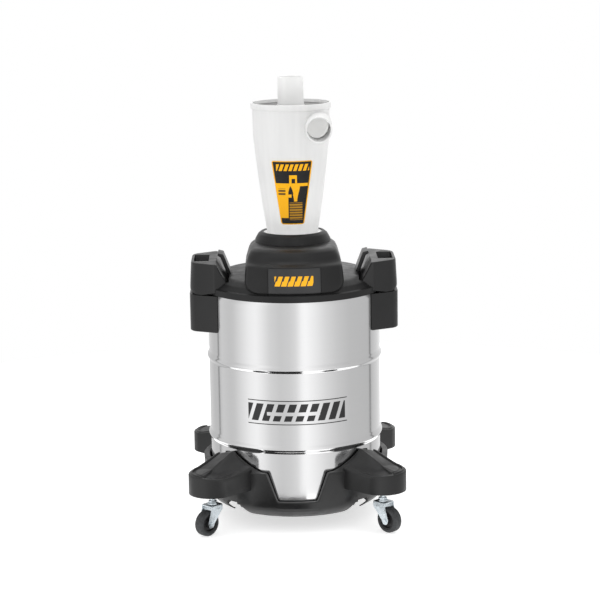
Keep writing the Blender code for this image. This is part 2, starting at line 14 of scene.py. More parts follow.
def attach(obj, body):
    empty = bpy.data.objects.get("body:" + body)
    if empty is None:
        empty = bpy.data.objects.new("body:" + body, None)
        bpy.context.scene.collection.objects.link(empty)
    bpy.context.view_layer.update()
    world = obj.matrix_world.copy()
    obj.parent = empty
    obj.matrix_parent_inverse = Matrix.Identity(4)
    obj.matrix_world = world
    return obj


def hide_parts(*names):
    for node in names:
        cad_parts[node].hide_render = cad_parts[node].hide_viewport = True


bl_info = {
    "name": "Dust collector",
    "version": (1, 0, 0),
    "blender": (4, 5, 0),
    "location": "View3D > Sidebar > Collector",
    "description": "Builds the looks of a cyclone dust collector round its packed model",
    "category": "Add Mesh",
}

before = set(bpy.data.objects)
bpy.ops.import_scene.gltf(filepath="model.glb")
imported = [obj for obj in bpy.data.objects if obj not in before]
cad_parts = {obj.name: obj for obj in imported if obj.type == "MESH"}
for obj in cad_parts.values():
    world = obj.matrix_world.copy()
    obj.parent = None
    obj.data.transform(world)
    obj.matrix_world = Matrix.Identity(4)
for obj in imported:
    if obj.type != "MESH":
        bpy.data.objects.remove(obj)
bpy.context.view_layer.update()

LEFT_RIGHT = {"left": -1, "right": 1}
CORNERS = {"front_left": 225, "front_right": 315, "rear_right": 45, "rear_left": 135}
WALL = 0.170  # the drum's outer radius
BEADS = (0.166, 0.324)  # the heights of the drum's two rolled beads
BEAD_HALF = 0.0102
SKIRT = 0.185  # the dolly's outer radius
SHOULDER = 0.1195  # the top of the skirt between the arms
ARM_REACH = 0.2333  # the casters' stems, from the drum's axis
ARM_FOOT = 0.083
TRAIL = 0.017  # each wheel's axle, behind its caster's stem
AXLE_Z = 0.025
PIN_X, PIN_Z = 0.193, 0.464  # each latch lever's pin
INLET_X, INLET_Z = 0.0515, 0.7785
PORT_BORE = 0.0225  # inside radius of the inlet and of the outlet
FILM_LOW, FILM_HIGH = 0.588, 0.714
UPRIGHT = Matrix.Rotation(math.pi / 2, 4, "X")


# ---- Shapes ----
def blend(values, start, end):
    """An ease from 0 at start to 1 at end: three t squared less two t cubed."""
    t = np.clip((np.asarray(values, float) - start) / (end - start), 0, 1)
    return t * t * (3 - 2 * t)


def softened(corners, steps=6, closed=True):
    """A line whose corners are arcs. Each corner is (a, b, radius). The arc's centre lies on the bisector at
    radius over the sine of half the corner's angle, and its ends at radius over the tangent."""
    table = np.array(corners, float)
    spots, radii = table[:, :2], table[:, 2:3]
    back, ahead = np.roll(spots, 1, 0) - spots, np.roll(spots, -1, 0) - spots
    back /= np.linalg.norm(back, axis=1, keepdims=True) + 1e-12
    ahead /= np.linalg.norm(ahead, axis=1, keepdims=True) + 1e-12
    half = np.arccos(np.clip((back * ahead).sum(1, keepdims=True), -1, 1)) / 2
    middle = back + ahead
    middle /= np.linalg.norm(middle, axis=1, keepdims=True) + 1e-9
    centre = spots + middle * radii / np.maximum(np.sin(half), 1e-3)
    reach = radii / np.maximum(np.tan(half), 1e-3)
    first, last = spots + back * reach - centre, spots + ahead * reach - centre
    start, end = np.arctan2(first[:, 1], first[:, 0]), np.arctan2(last[:, 1], last[:, 0])
    sweep = (end - start + np.pi) % (2 * np.pi) - np.pi
    angles = start[:, None] + sweep[:, None] * np.linspace(0, 1, steps + 1)
    arcs = centre[:, None] + radii[:, None] * np.stack([np.cos(angles), np.sin(angles)], -1)
    arcs = np.where(radii[:, None] > 0, arcs, spots[:, None])
    if not closed:
        arcs[0], arcs[-1] = spots[0], spots[-1]
    return arcs.reshape(-1, 2)


def spaced(line, count, closed=True):
    """The line resampled at equal steps along its length."""
    line = np.asarray(line, float)
    if closed:
        line = np.concatenate([line, line[:1]])
    length = np.concatenate([[0], np.cumsum(np.linalg.norm(np.diff(line, axis=0), axis=1))])
    at = np.linspace(0, length[-1], count + (1 if closed else 0))[: count or None]
    return np.stack([np.interp(at, length, line[:, axis]) for axis in range(line.shape[1])], -1)


def box_plan(left, right, low, high, radius=0.0):
    """A rectangle's corners for softened, anticlockwise, all of one radius."""
    return [(left, low, radius), (right, low, radius), (right, high, radius), (left, high, radius)]


def inset(line, distance):
    """A closed anticlockwise line moved inwards: each point goes along its mitre, the sum of its two edges'
    normals over one plus their product."""
    along = np.roll(line, -1, 0) - line
    along /= np.linalg.norm(along, axis=1, keepdims=True) + 1e-12
    normal = np.stack([-along[:, 1], along[:, 0]], -1)
    before = np.roll(normal, 1, 0)
    scale = 1 + (normal * before).sum(1, keepdims=True)
    return line + distance * (normal + before) / np.maximum(scale, 0.35)


def mesh_from(name, points, around=True, along=False, caps=False, place=None):
    """An object whose quads join neighbours on a grid of points. The grid may close on itself either way, and
    flat caps may close its first and last rows. Doubles are merged and faces turned outwards."""
    rows, columns = points.shape[:2]
    index = np.arange(rows * columns).reshape(rows, columns)
    index = np.concatenate([index, index[:1]]) if along else index
    index = np.concatenate([index, index[:, :1]], axis=1) if around else index
    quads = np.stack([index[:-1, :-1], index[:-1, 1:], index[1:, 1:], index[1:, :-1]], -1).reshape(-1, 4)
    faces = quads.tolist()
    if caps:
        faces += [index[0, :columns][::-1].tolist(), index[-1, :columns].tolist()]
    mesh = bpy.data.meshes.new(name)
    mesh.from_pydata(points.reshape(-1, 3).tolist(), [], faces)
    bm = bmesh.new()
    bm.from_mesh(mesh)
    bmesh.ops.remove_doubles(bm, verts=bm.verts, dist=2e-6)
    bmesh.ops.dissolve_degenerate(bm, edges=bm.edges, dist=1e-6)
    if place is not None:
        bmesh.ops.transform(bm, matrix=place, verts=bm.verts)
    bmesh.ops.recalc_face_normals(bm, faces=bm.faces)
    bm.to_mesh(mesh)
    bm.free()
    made = bpy.data.objects.new(name, mesh)
    bpy.context.scene.collection.objects.link(made)
    return made


def turned(name, profile, steps=192, ring=False, place=None):
    """A surface of revolution: each profile point (radius, height) is carried round Z. A ring's is closed."""
    profile = np.asarray(profile, float)
    angles = 2 * np.pi * np.arange(steps) / steps
    radius = profile[:, :1]
    points = np.stack([radius * np.cos(angles), radius * np.sin(angles), profile[:, 1:] + 0 * angles], -1)
    return mesh_from(name, points, True, ring, place=place)


def slab(name, outline, low, high, edge=0.001, foot=None, steps=4, place=None):
    """A plate of the outline's plan between two heights, whose top and bottom edges are quarter circles: at
    an angle t the plan is inset by edge times one less cosine t, and the height is short by edge times one
    less sine t."""
    foot = edge if foot is None else foot
    turn = np.linspace(np.pi / 2, 0, steps + 1)
    rows = [(inset(outline, foot * (1 - np.cos(t))), low + foot * (1 - np.sin(t))) for t in turn]
    rows += [(inset(outline, edge * (1 - np.cos(t))), high - edge * (1 - np.sin(t))) for t in turn[::-1]]
    points = np.stack([np.concatenate([plan, np.full((len(plan), 1), z)], 1) for plan, z in rows])
    return mesh_from(name, points, caps=True, place=place)


def carve(target, other):
    """Cut one object by another and remove the other."""
    modifier = target.modifiers.new("carve", "BOOLEAN")
    modifier.operation, modifier.object, modifier.solver = "DIFFERENCE", other, "EXACT"
    settle(target)
    bpy.data.objects.remove(other)
    return target


def settle(target):
    """Apply an object's modifiers to its mesh."""
    graph = bpy.context.evaluated_depsgraph_get()
    mesh = bpy.data.meshes.new_from_object(target.evaluated_get(graph))
    target.modifiers.clear()
    target.data = mesh
    return target


def joined(name, pieces):
    """One object of several meshes that lie in place already."""
    bm = bmesh.new()
    for piece in pieces:
        bm.from_mesh(piece.data)
        bpy.data.objects.remove(piece)
    mesh = bpy.data.meshes.new(name)
    bm.to_mesh(mesh)
    bm.free()
    made = bpy.data.objects.new(name, mesh)
    bpy.context.scene.collection.objects.link(made)
    return made


def rounded_edges(target, width, segments=3, angle=32):
    """Round an object's sharper edges."""
    bevel = target.modifiers.new("rounding", "BEVEL")
    bevel.width, bevel.segments = width, segments
    bevel.limit_method, bevel.angle_limit = "ANGLE", math.radians(angle)
    bevel.use_clamp_overlap = True
    return settle(target)


def fit_piece(made, name, body, finish, nodes=(), sharp=32):
    """Name a piece, shade it, give it its finish, tie it to its body, and hide the CAD nodes it stands for."""
    made.name = made.data.name = name
    made.data.shade_smooth()
    made.data.set_sharp_from_angle(angle=math.radians(sharp))
    made.data.materials.clear()
    made.data.materials.append(finish)
    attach(made, body)
    if nodes:
        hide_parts(*nodes)
    return made


def about(angle, reach=0.0):
    """A place at a distance from the drum's axis in a direction, in degrees, turned to face it."""
    return Matrix.Rotation(math.radians(angle), 4, "Z") @ Matrix.Translation((reach, 0, 0))


def arc(centre, radius, start, end, steps):
    """Points on an arc: the centre plus the radius times the cosine and the sine of evenly spaced angles."""
    angles = np.radians(np.linspace(start, end, steps + 1))
    return np.stack([centre[0] + radius * np.cos(angles), centre[1] + radius * np.sin(angles)], -1)


# ---- Shader expressions ----
class Wire:
    """A socket that takes part in sums. Each operator adds a Math node to the socket's material."""

    def __init__(self, finish, socket):
        self.finish, self.socket = finish, socket

    def math(self, operation, *values):
        return self.finish.node("ShaderNodeMath", {"operation": operation}, values)

    def __add__(self, other):
        return self.math("ADD", self, other)

    def __sub__(self, other):
        return self.math("SUBTRACT", self, other)

    def __rsub__(self, other):
        return self.math("SUBTRACT", other, self)

    def __mul__(self, other):
        return self.math("MULTIPLY", self, other)

    def __truediv__(self, other):
        return self.math("DIVIDE", self, other)

    def __lt__(self, other):
        return self.math("LESS_THAN", self, other)

    def __gt__(self, other):
        return self.math("GREATER_THAN", self, other)

    def root(self):
        return self.math("SQRT", self)

    def __abs__(self):
        return self.math("ABSOLUTE", self)

    __radd__, __rmul__ = __add__, __mul__


class Finish:
    """A Principled material with its nodes."""

    def __init__(self, name, colour, roughness, metallic=0.0, **constants):
        self.material = bpy.data.materials.new(name)
        self.material.use_nodes = True
        self.tree = self.material.node_tree
        self.shader = self.tree.nodes["Principled BSDF"]
        self.show(Base_Color=(*colour, 1.0), Roughness=roughness, Metallic=metallic, **constants)

    def show(self, **values):
        """Feed the shader, with an underscore for each blank in a socket's name."""
        self.feed(self.shader, {key.replace("_", " "): value for key, value in values.items()})

    def feed(self, node, values):
        """Link a node's sockets to wires or set them to constants."""
        for key, value in values.items() if isinstance(values, dict) else enumerate(values):
            if isinstance(value, Wire):
                self.tree.links.new(value.socket, node.inputs[key])
            else:
                node.inputs[key].default_value = value

    def node(self, kind, settings=None, values=(), output=0):
        """Add a node with its settings first and then its sockets' values or links."""
        node = self.tree.nodes.new(kind)
        for key, value in (settings or {}).items():
            if key == "stops":
                for at, colour in value:
                    node.color_ramp.elements.new(at).color = colour
                node.color_ramp.elements.remove(node.color_ramp.elements[0])
                node.color_ramp.elements.remove(node.color_ramp.elements[-1])
            else:
                setattr(node, key, value)
        self.feed(node, values)
        return Wire(self, node.outputs[output])

    def place(self, scale=(1, 1, 1)):
        """The object's own coordinates, stretched."""
        spot = self.node("ShaderNodeTexCoord", output="Object")
        return self.node("ShaderNodeMapping", None, {"Vector": spot, "Scale": scale})

    def axes(self):
        """The object's own X, Y and Z."""
        split = self.node("ShaderNodeSeparateXYZ", None, [self.place()])
        return [Wire(self, output) for output in split.socket.node.outputs]

    def round_wall(self, x, y):
        """The length round the drum's wall from its front: the radius times the arctangent of x over -y."""
        return x.math("ARCTAN2", x, y * -1) * WALL

    def noise(self, size, detail=3.0, stretch=(1, 1, 1)):
        """Noise with features of about a size in metres."""
        values = {"Vector": self.place(stretch), "Scale": 1 / size, "Detail": detail}
        return self.node("ShaderNodeTexNoise", None, values, output=0)

    def ease(self, value, low, high, to_low=0.0, to_high=1.0):
        """A value carried smoothly from one range to another."""
        values = {"Value": value, "From Min": low, "From Max": high, "To Min": to_low, "To Max": to_high}
        return self.node("ShaderNodeMapRange", {"interpolation_type": "SMOOTHSTEP"}, values)

    def tint(self, mask, first, second):
        """A colour between two, by a mask."""
        values = {0: mask}
        for key, colour in ((6, first), (7, second)):
            values[key] = colour if isinstance(colour, Wire) else (*colour[:3], 1.0)
        return self.node("ShaderNodeMix", {"data_type": "RGBA"}, values, output=2)

    def bump(self, height, distance, strength=1.0):
        """Feed a height to the shader's normal."""
        values = {"Height": height, "Distance": distance, "Strength": strength}
        self.show(Normal=self.node("ShaderNodeBump", None, values))

    def wear(self, colour, low, high, size):
        """A colour that wanders between two brightnesses in patches of a size."""
        patches = self.ease(self.noise(size, 4), 0.3, 0.7)
        dark, pale = [channel * low for channel in colour], [channel * high for channel in colour]
        return self.tint(patches, dark, pale)


def worked(name, colour, wander, gloss, grain, metallic=0.0, **constants):
    """A plain material: slow noise moves its colour (lowest and highest share, size), finer noise its
    roughness (lowest, highest, size), and fine noise is its grain (size, depth, strength)."""
    finish = Finish(name, colour, sum(gloss[:2]) / 2, metallic, **constants)
    finish.show(Base_Color=finish.wear(colour, *wander))
    finish.show(Roughness=finish.ease(finish.noise(gloss[2], 3), 0.3, 0.7, *gloss[:2]))
    if grain:
        finish.bump(finish.noise(grain[0], 2), *grain[1:])
    return finish.material


def moulded(name, colour, roughness, specular):
    """Grained moulding."""
    gloss, grain = (roughness - 0.05, roughness + 0.06, 0.02), (0.0006, 0.00003, 0.6)
    return worked(name, colour, (0.86, 1.12, 0.05), gloss, grain, Specular_IOR_Level=specular)


def lettering_bars(x, z, left, right, low, high, pitch, lean=0.35):
    """Plain slanted bars in a rectangle, in place of any words: a bar wherever the leaning coordinate over the
    pitch has a fraction above 0.34."""
    phase = x.math("FRACT", (x - z * lean) * (1 / pitch))
    return (phase > 0.34) * window(x, left, right) * window(z, low, high)


def window(value, low, high):
    """One between two values and nought outside them."""
    return (value > low) * (value < high)


# ---- What a user would change ----
def size(name, description, default):
    """A length property in metres."""
    texts = {"name": name, "description": description}
    return bpy.props.FloatProperty(**texts, default=default, unit="LENGTH", precision=4)


def colour(name, description, default):
    """A colour property."""
    texts = {"name": name, "description": description}
    return bpy.props.FloatVectorProperty(**texts, default=default, subtype="COLOR", min=0, max=1)


class CollectorSizes(bpy.types.PropertyGroup):
    drum_radius: size("Drum radius", "Outside of the drum's wall", WALL)
    bead_depth: size("Bead depth", "How far a rolled bead stands out", 0.0038)
    arm_end: size("Arm end radius", "Round end of each dolly arm", 0.046)
    arm_ridge: size("Arm ridge height", "Top of each dolly arm where it meets the drum", 0.153)
    lid_radius: size("Lid radius", "Outside of the lid's rim", 0.1752)
    deck_height: size("Deck height", "Top of the lid's deck", 0.494)
    wheel_radius: size("Wheel radius", "Outside of each tyre", 0.025)


class CollectorColours(bpy.types.PropertyGroup):
    black: colour("Black plastic", "Moulded parts", (0.0085, 0.0085, 0.0088))
    steel: colour("Steel", "Drum", (0.80, 0.80, 0.805))
    zinc: colour("Zinc", "Forks, stems and pins", (0.70, 0.76, 0.80))
    natural: colour("Natural plastic", "Cyclone", (0.90, 0.90, 0.895))
    rubber: colour("Rubber", "Tyres and seals", (0.035, 0.037, 0.039))
    ink: colour("Ink", "Printing on the drum", (0.012, 0.012, 0.013))
    yellow: colour("Yellow", "Printing on the film and the nameplate", (0.96, 0.46, 0.0))


def sizes():
    """The scene's sizes."""
    return bpy.context.scene.collector_sizes


def colours():
    """The scene's colours."""
    return bpy.context.scene.collector_colours


def kept(name):
    """A decorator: the material is made the first time that it is asked for, and found by its name after."""
    return lambda make: lambda: bpy.data.materials.get(name) or make(name)


@kept("black_moulding")
def black_plastic(name):
    """The moulding of the dolly and the latches."""
    return moulded(name, colours().black, 0.36, 0.5)


@kept("lid_moulding")
def lid_plastic(name):
    """The lid's moulding, which shines less."""
    return moulded(name, colours().black, 0.38, 0.34)


@kept("hub_moulding")
def hub_plastic(name):
    """The hubs' moulding."""
    return moulded(name, (0.010, 0.010, 0.011), 0.5, 0.5)


@kept("zinc_plating")
def zinc_finish(name):
    """Bright zinc."""
    return worked(name, colours().zinc, (0.95, 1.03, 0.008), (0.22, 0.4, 0.003), (0.0012, 0.00001, 0.3), 1.0)


@kept("tyre_rubber")
def rubber_finish(name):
    """Matt rubber."""
    return worked(name, colours().rubber, (0.8, 1.25, 0.006), (0.62, 0.82, 0.004), (0.0008, 0.00005, 0.6))


@kept("base_steel")
def plain_steel(name):
    """Pressed steel, duller than the wall."""
    return worked(name, (0.62, 0.62, 0.62), (0.9, 1.08, 0.02), (0.25, 0.38, 0.01), None, 1.0)


# ---- Dolly ----
def skirt_outside(z):
    """The skirt's outer radius at a height: a bowl below 50 mm and a nearly upright wall above it."""
    heights = [0.027, 0.034, 0.043, 0.050, 0.062, 0.122]
    return np.interp(z, heights, [0.153, 0.1650, 0.1755, 0.180, 0.1822, SKIRT])


def arm_height(x, y):
    """The arm's top over its own axes, with y towards the dolly's front or back: the near edge is level with
    the skirt's shoulder, and a slope rises by a power to a ridge, which falls from the drum to the round end."""
    half = np.interp(x, [0.172, 0.200, 0.233, 0.279], [0.068, 0.056, 0.046, 0.046])
    ridge = np.interp(x, [0.172, 0.181, 0.235, 0.279], [0.1535, sizes().arm_ridge, 0.1290, 0.1225])
    share = np.where(y > 0, np.clip(1 - y / half, 0, 1) ** 1.2, 1 + 0.55 * np.clip(y / half, -1, 0))
    return SHOULDER + (ridge - SHOULDER) * share


def make_skirt():
    """A closed ring: at each azimuth a section runs up the outer wall, over a rounded top and down the inside.
    The top follows the windows' trapezoids and the arms' shoulders; the foot steps up below the arms."""
    window_marks = np.array([0, 0.025, 0.0385, 0.0415, 0.0425, 0.0600, 0.0630, 0.0645, 0.073])
    arm_marks = [26, 29, 32, 35.9, 36.0, 37.2, 37.3, 38.9, 39.0, 41.0, 41.1, 43, 45]
    marks = np.concatenate([np.degrees(np.arcsin(window_marks / SKIRT)), arm_marks])
    fold = np.concatenate([marks, 90 - marks[::-1][1:]])
    fold = np.interp(np.linspace(0, len(fold) - 1, 4 * (len(fold) - 1) + 1), np.arange(len(fold)), fold)
    azimuth = np.radians(np.concatenate([fold[:-1] + 90 * i for i in range(4)]))
    away = np.abs((np.degrees(azimuth) + 45) % 90 - 45)
    across = np.abs(SKIRT * np.cos(azimuth))
    local = 0.176 * np.sin(np.radians(45 - away))
    facing = np.where(np.abs(np.sin(azimuth)) > np.abs(np.cos(azimuth)), 1, -1)
    shoulder = arm_height(np.full_like(local, 0.176), local * facing)
    shoulder = np.where(local > 0.067, SHOULDER, shoulder)
    window_rise = [0.0635, 0.0635, 0.0665, 0.1175, SHOULDER]
    window_top = np.interp(across, [0, 0.0385, 0.0415, 0.0610, 0.0645], window_rise)
    in_window = (np.abs(np.sin(azimuth)) > 0.8) & (across < 0.0645)
    top = np.where(in_window, window_top, SHOULDER)
    inner_top = np.where(in_window, window_top, np.maximum(shoulder, SHOULDER))
    side_top = SHOULDER + (inner_top - SHOULDER) * blend(-local, -0.060, -0.005)
    inner_top = np.where(facing < 0, side_top, inner_top)
    foot = np.interp(away, [36, 37.2, 37.3, 38.9, 39.0, 41.0, 41.1], [27, 36, 43, 43, 48, 48, 52]) / 1000
    rise = np.linspace(0, 1, 28)
    edge, lip = 0.0018, 0.0015
    outer_z = foot[:, None] + lip + (top - edge - foot - lip)[:, None] * rise
    outer_r = skirt_outside(outer_z)
    turn = np.linspace(0.25, 1, 4) * np.pi / 2
    crown_r = outer_r[:, -1:] - edge * (1 - np.cos(turn))
    crown_z = top[:, None] - edge * (1 - np.sin(turn))
    inner_z = foot[:, None] + lip + (inner_top - edge - foot - lip)[:, None] * rise[::-1]
    inner_r = np.minimum(0.1732, skirt_outside(inner_z) - 0.0045)
    back_r = inner_r[:, :1] + edge * (1 - np.cos(turn[::-1]))
    back_z = inner_top[:, None] - edge * (1 - np.sin(turn[::-1]))
    foot_r = (outer_r[:, :1] + inner_r[:, -1:]) / 2 + 0 * foot[:, None]
    radius = np.concatenate([outer_r, crown_r, back_r, inner_r, foot_r], 1)
    height = np.concatenate([outer_z, crown_z, back_z, inner_z, foot[:, None]], 1)
    points = np.stack([radius * np.cos(azimuth)[:, None], radius * np.sin(azimuth)[:, None], height], -1)
    return mesh_from("skirt", points, True, True)


def make_arm(angle, towards_front):
    """One arm as a shell: walls down from a rounded edge, and a top whose rows draw in to the arm's spine. A
    rail and a groove run along its far edge, and the wall is given its thickness inwards."""
    root, root_half, edge = 0.1735, 0.0480, 0.0022
    tip = arc((ARM_REACH, 0), sizes().arm_end, -80, 80, 40)
    outline = spaced(np.concatenate([[(root, -root_half)], tip, [(root, root_half)]]), 150, closed=False)
    spine = np.stack([np.clip(outline[:, 0], root, ARM_REACH - 0.006), 0 * outline[:, 1]], -1)
    inwards = spine - outline

    def row(plan, lift):
        height = arm_height(plan[:, 0], towards_front * plan[:, 1])
        return np.column_stack([plan, lift(height)])

    rows = [row(outline, lambda top: ARM_FOOT + (top - edge - ARM_FOOT) * up) for up in np.linspace(0, 1, 12)]
    for turn in np.radians([25, 50, 75]):
        share = edge * (1 - np.cos(turn)) / np.maximum(np.linalg.norm(inwards, axis=1), 0.02)
        rows.append(row(outline + inwards * share[:, None], lambda top: top - edge * (1 - np.sin(turn))))
    far = towards_front * outline[:, 1] < 0.012
    for share in np.concatenate([np.linspace(0.05, 0.3, 14), np.linspace(0.34, 1, 14)]):
        rail = 0.0022 * (blend(share, 0.075, 0.095) - blend(share, 0.155, 0.175))
        groove = 0.0012 * (blend(share, 0.17, 0.19) - blend(share, 0.25, 0.29))
        scoop = 0.0030 * blend(share, 0.05, 0.35) * (1 - blend(share, 0.6, 1.0))
        rows.append(row(outline + inwards * share, lambda top: top + np.where(far, rail - groove, -scoop)))
    arm = mesh_from("arm", np.stack(rows), around=False)
    wall = arm.modifiers.new("wall", "SOLIDIFY")
    wall.thickness, wall.offset = 0.0035, -1.0
    settle(arm)
    arm.data.transform(about(angle))
    return arm


def make_dolly_extras():
    """The floor under the drum, the casters' sockets and the ribs that hold them."""
    floor = [(0, 0.0596), (0.1738, 0.0596), (0.1738, 0.0535), (0.1600, 0.0500), (0.1500, 0.0520), (0, 0.0535)]
    pieces = [turned("floor", floor, 192)]
    socket = [(0, 0.1120), (0.0130, 0.1120), (0.0130, 0.0840), (0.0122, 0.0825)]
    socket += [(0.0062, 0.0825), (0.0062, 0.0900), (0, 0.0900)]
    bar = spaced(softened(box_plan(0.176, 0.222, -0.0014, 0.0014), 1), 40)
    for angle in CORNERS.values():
        pieces.append(turned("socket", socket, 48, place=about(angle, ARM_REACH)))
        for y in (-1, 1):
            rib = slab("rib", bar, 0.0845, 0.1130, 0.0004)
            rib.data.transform(about(angle) @ Matrix.Translation((0, y * 0.0125, 0)))
            pieces.append(rib)
    return pieces


class MESH_OT_collector_dolly(bpy.types.Operator):
    """Build the dolly: the skirt with its windows, the four arms, and the floor and sockets under them"""

    bl_idname = "mesh.collector_dolly"
    bl_label = "Dolly"

    def execute(self, context):
        pieces = [make_skirt()]
        for corner, angle in CORNERS.items():
            pieces.append(make_arm(angle, 1 if corner in ("front_left", "rear_right") else -1))
        pieces += make_dolly_extras()
        dolly = joined("dolly_shell", pieces)
        fit_piece(dolly, "dolly_shell", "base", black_plastic(), ["dolly"], 38)
        return {"FINISHED"}


# ---- Drum ----
@kept("drum_steel")
def drum_steel(name):
    """Polished steel, faintly rolled round the drum, with a printed band of plain bars between two lines."""
    finish = Finish(name, colours().steel, 0.16, 1.0)
    x, y, z = finish.axes()
    turn = finish.round_wall(x, y)
    streaks = finish.ease(finish.noise(0.004, 4, (0.02, 0.02, 1.0)), 0.25, 0.75, 0.994, 1.003)
    grey = finish.node("ShaderNodeCombineColor", None, [streaks * share for share in colours().steel])
    lines = (window(z, 0.2148, 0.2166) + window(z, 0.2612, 0.2630)) * window(turn, -0.0985, 0.1045)
    bars = lettering_bars(turn, z, -0.098, 0.100, 0.2220, 0.2560, 0.0220)
    cuts = lettering_bars(turn, z, -0.058, 0.046, 0.2330, 0.2400, 0.0220)
    ink = x.math("MINIMUM", lines + (bars - cuts), 1.0)
    gloss = finish.ease(finish.noise(0.03, 3, (1, 1, 0.3)), 0.3, 0.7, 0.09, 0.13) + ink * 0.2
    finish.show(Base_Color=finish.tint(ink, grey, colours().ink), Metallic=1 - ink, Roughness=gloss)
    finish.bump(finish.noise(0.05, 2, (1, 1, 0.5)), 0.00004, 0.3)
    return finish.material


class MESH_OT_collector_drum(bpy.types.Operator):
    """Build the drum's wall: a thin ring with a curled rim and two beads that stand out by a cosine curve"""

    bl_idname = "mesh.collector_drum"
    bl_label = "Drum"

    def execute(self, context):
        radius, depth = sizes().drum_radius, sizes().bead_depth
        spans = [(0.0615, 0.155, 12), (0.1555, 0.1765, 36), (0.18, 0.312, 16), (0.3135, 0.3345, 36)]
        z = np.concatenate([np.linspace(*span) for span in [*spans, (0.336, 0.4540, 14)]])
        out = np.zeros_like(z)
        for height in BEADS:
            share = (z - height) / BEAD_HALF
            out += np.where(abs(share) < 1, depth * (1 + np.cos(np.pi * share)) / 2, 0)
        outside = np.column_stack([radius + out, z])
        curl = arc((radius + 0.0006, 0.4575), 0.0022, -80, 130, 14)
        inside = np.column_stack([radius - 0.0012 + out, z])[::-1]
        profile = np.concatenate([outside, curl, inside])
        wall = turned("drum", profile, 360, ring=True)
        fit_piece(wall, "drum_shell", "base", drum_steel(), ["drum_wall"], 50)
        return {"FINISHED"}


# ---- Lid ----
def housing_plan(half, front, corner, count=220):
    """The housing's plan: a half circle at the back, straight sides, and at the front an arc about the drum's
    axis that meets them in round corners."""
    corner_x = half - corner
    corner_y = -math.sqrt((front - corner) ** 2 - corner_x**2)
    turn = math.degrees(math.atan2(-corner_y, corner_x))
    back = arc((0, 0), half, 0, 180, 60)
    left = arc((-corner_x, corner_y), corner, 180, 180 + turn, 20)
    nose = arc((0, 0), front, 180 + turn, 360 - turn, 40)
    right = arc((corner_x, corner_y), corner, 360 - turn, 360, 20)
    return spaced(np.concatenate([back, left[1:], nose[1:-1], right[:-1]]), count)


def make_housing():
    """The housing through plans at many heights, smoothed once between neighbours by weights of 1, 2 and 1. Its
    sides and front bulge at 488 mm, tuck in below, lean in above, and draw back in a cove under the collar."""
    stations = np.array([  # height, half width, front, corner
        (0.4640, 0.0850, 0.1660, 0.0340),
        (0.4700, 0.0872, 0.1700, 0.0330),
        (0.4740, 0.0900, 0.1722, 0.0310),
        (0.4790, 0.0930, 0.1718, 0.0280),
        (0.4880, 0.0955, 0.1698, 0.0240),
        (0.5030, 0.0945, 0.1650, 0.0220),
        (0.5190, 0.0925, 0.1600, 0.0230),
        (0.5215, 0.0918, 0.1560, 0.0240),
        (0.5240, 0.0908, 0.1480, 0.0270),
        (0.5290, 0.0895, 0.1420, 0.0300),
        (0.5370, 0.0870, 0.1370, 0.0330),
        (0.5440, 0.0835, 0.1310, 0.0360),
        (0.5475, 0.0790, 0.1230, 0.0380),
    ])
    rows = []
    for z in np.linspace(stations[0, 0], stations[-1, 0], 64):
        plan = housing_plan(*(np.interp(z, stations[:, 0], stations[:, column]) for column in (1, 2, 3)))
        rows.append(np.column_stack([plan, np.full(len(plan), z)]))
    rows = np.stack(rows)
    rows[1:-1] = (rows[:-2] + 2 * rows[1:-1] + rows[2:]) / 4
    shrink = rows[-1] * np.array([0.96, 0.96, 1]) + np.array([0, 0, 0.0012])
    last = rows[-1] * np.array([0.80, 0.80, 1]) + np.array([0, 0, 0.0016])
    return mesh_from("housing", np.concatenate([rows, [shrink, last]]), caps=True)


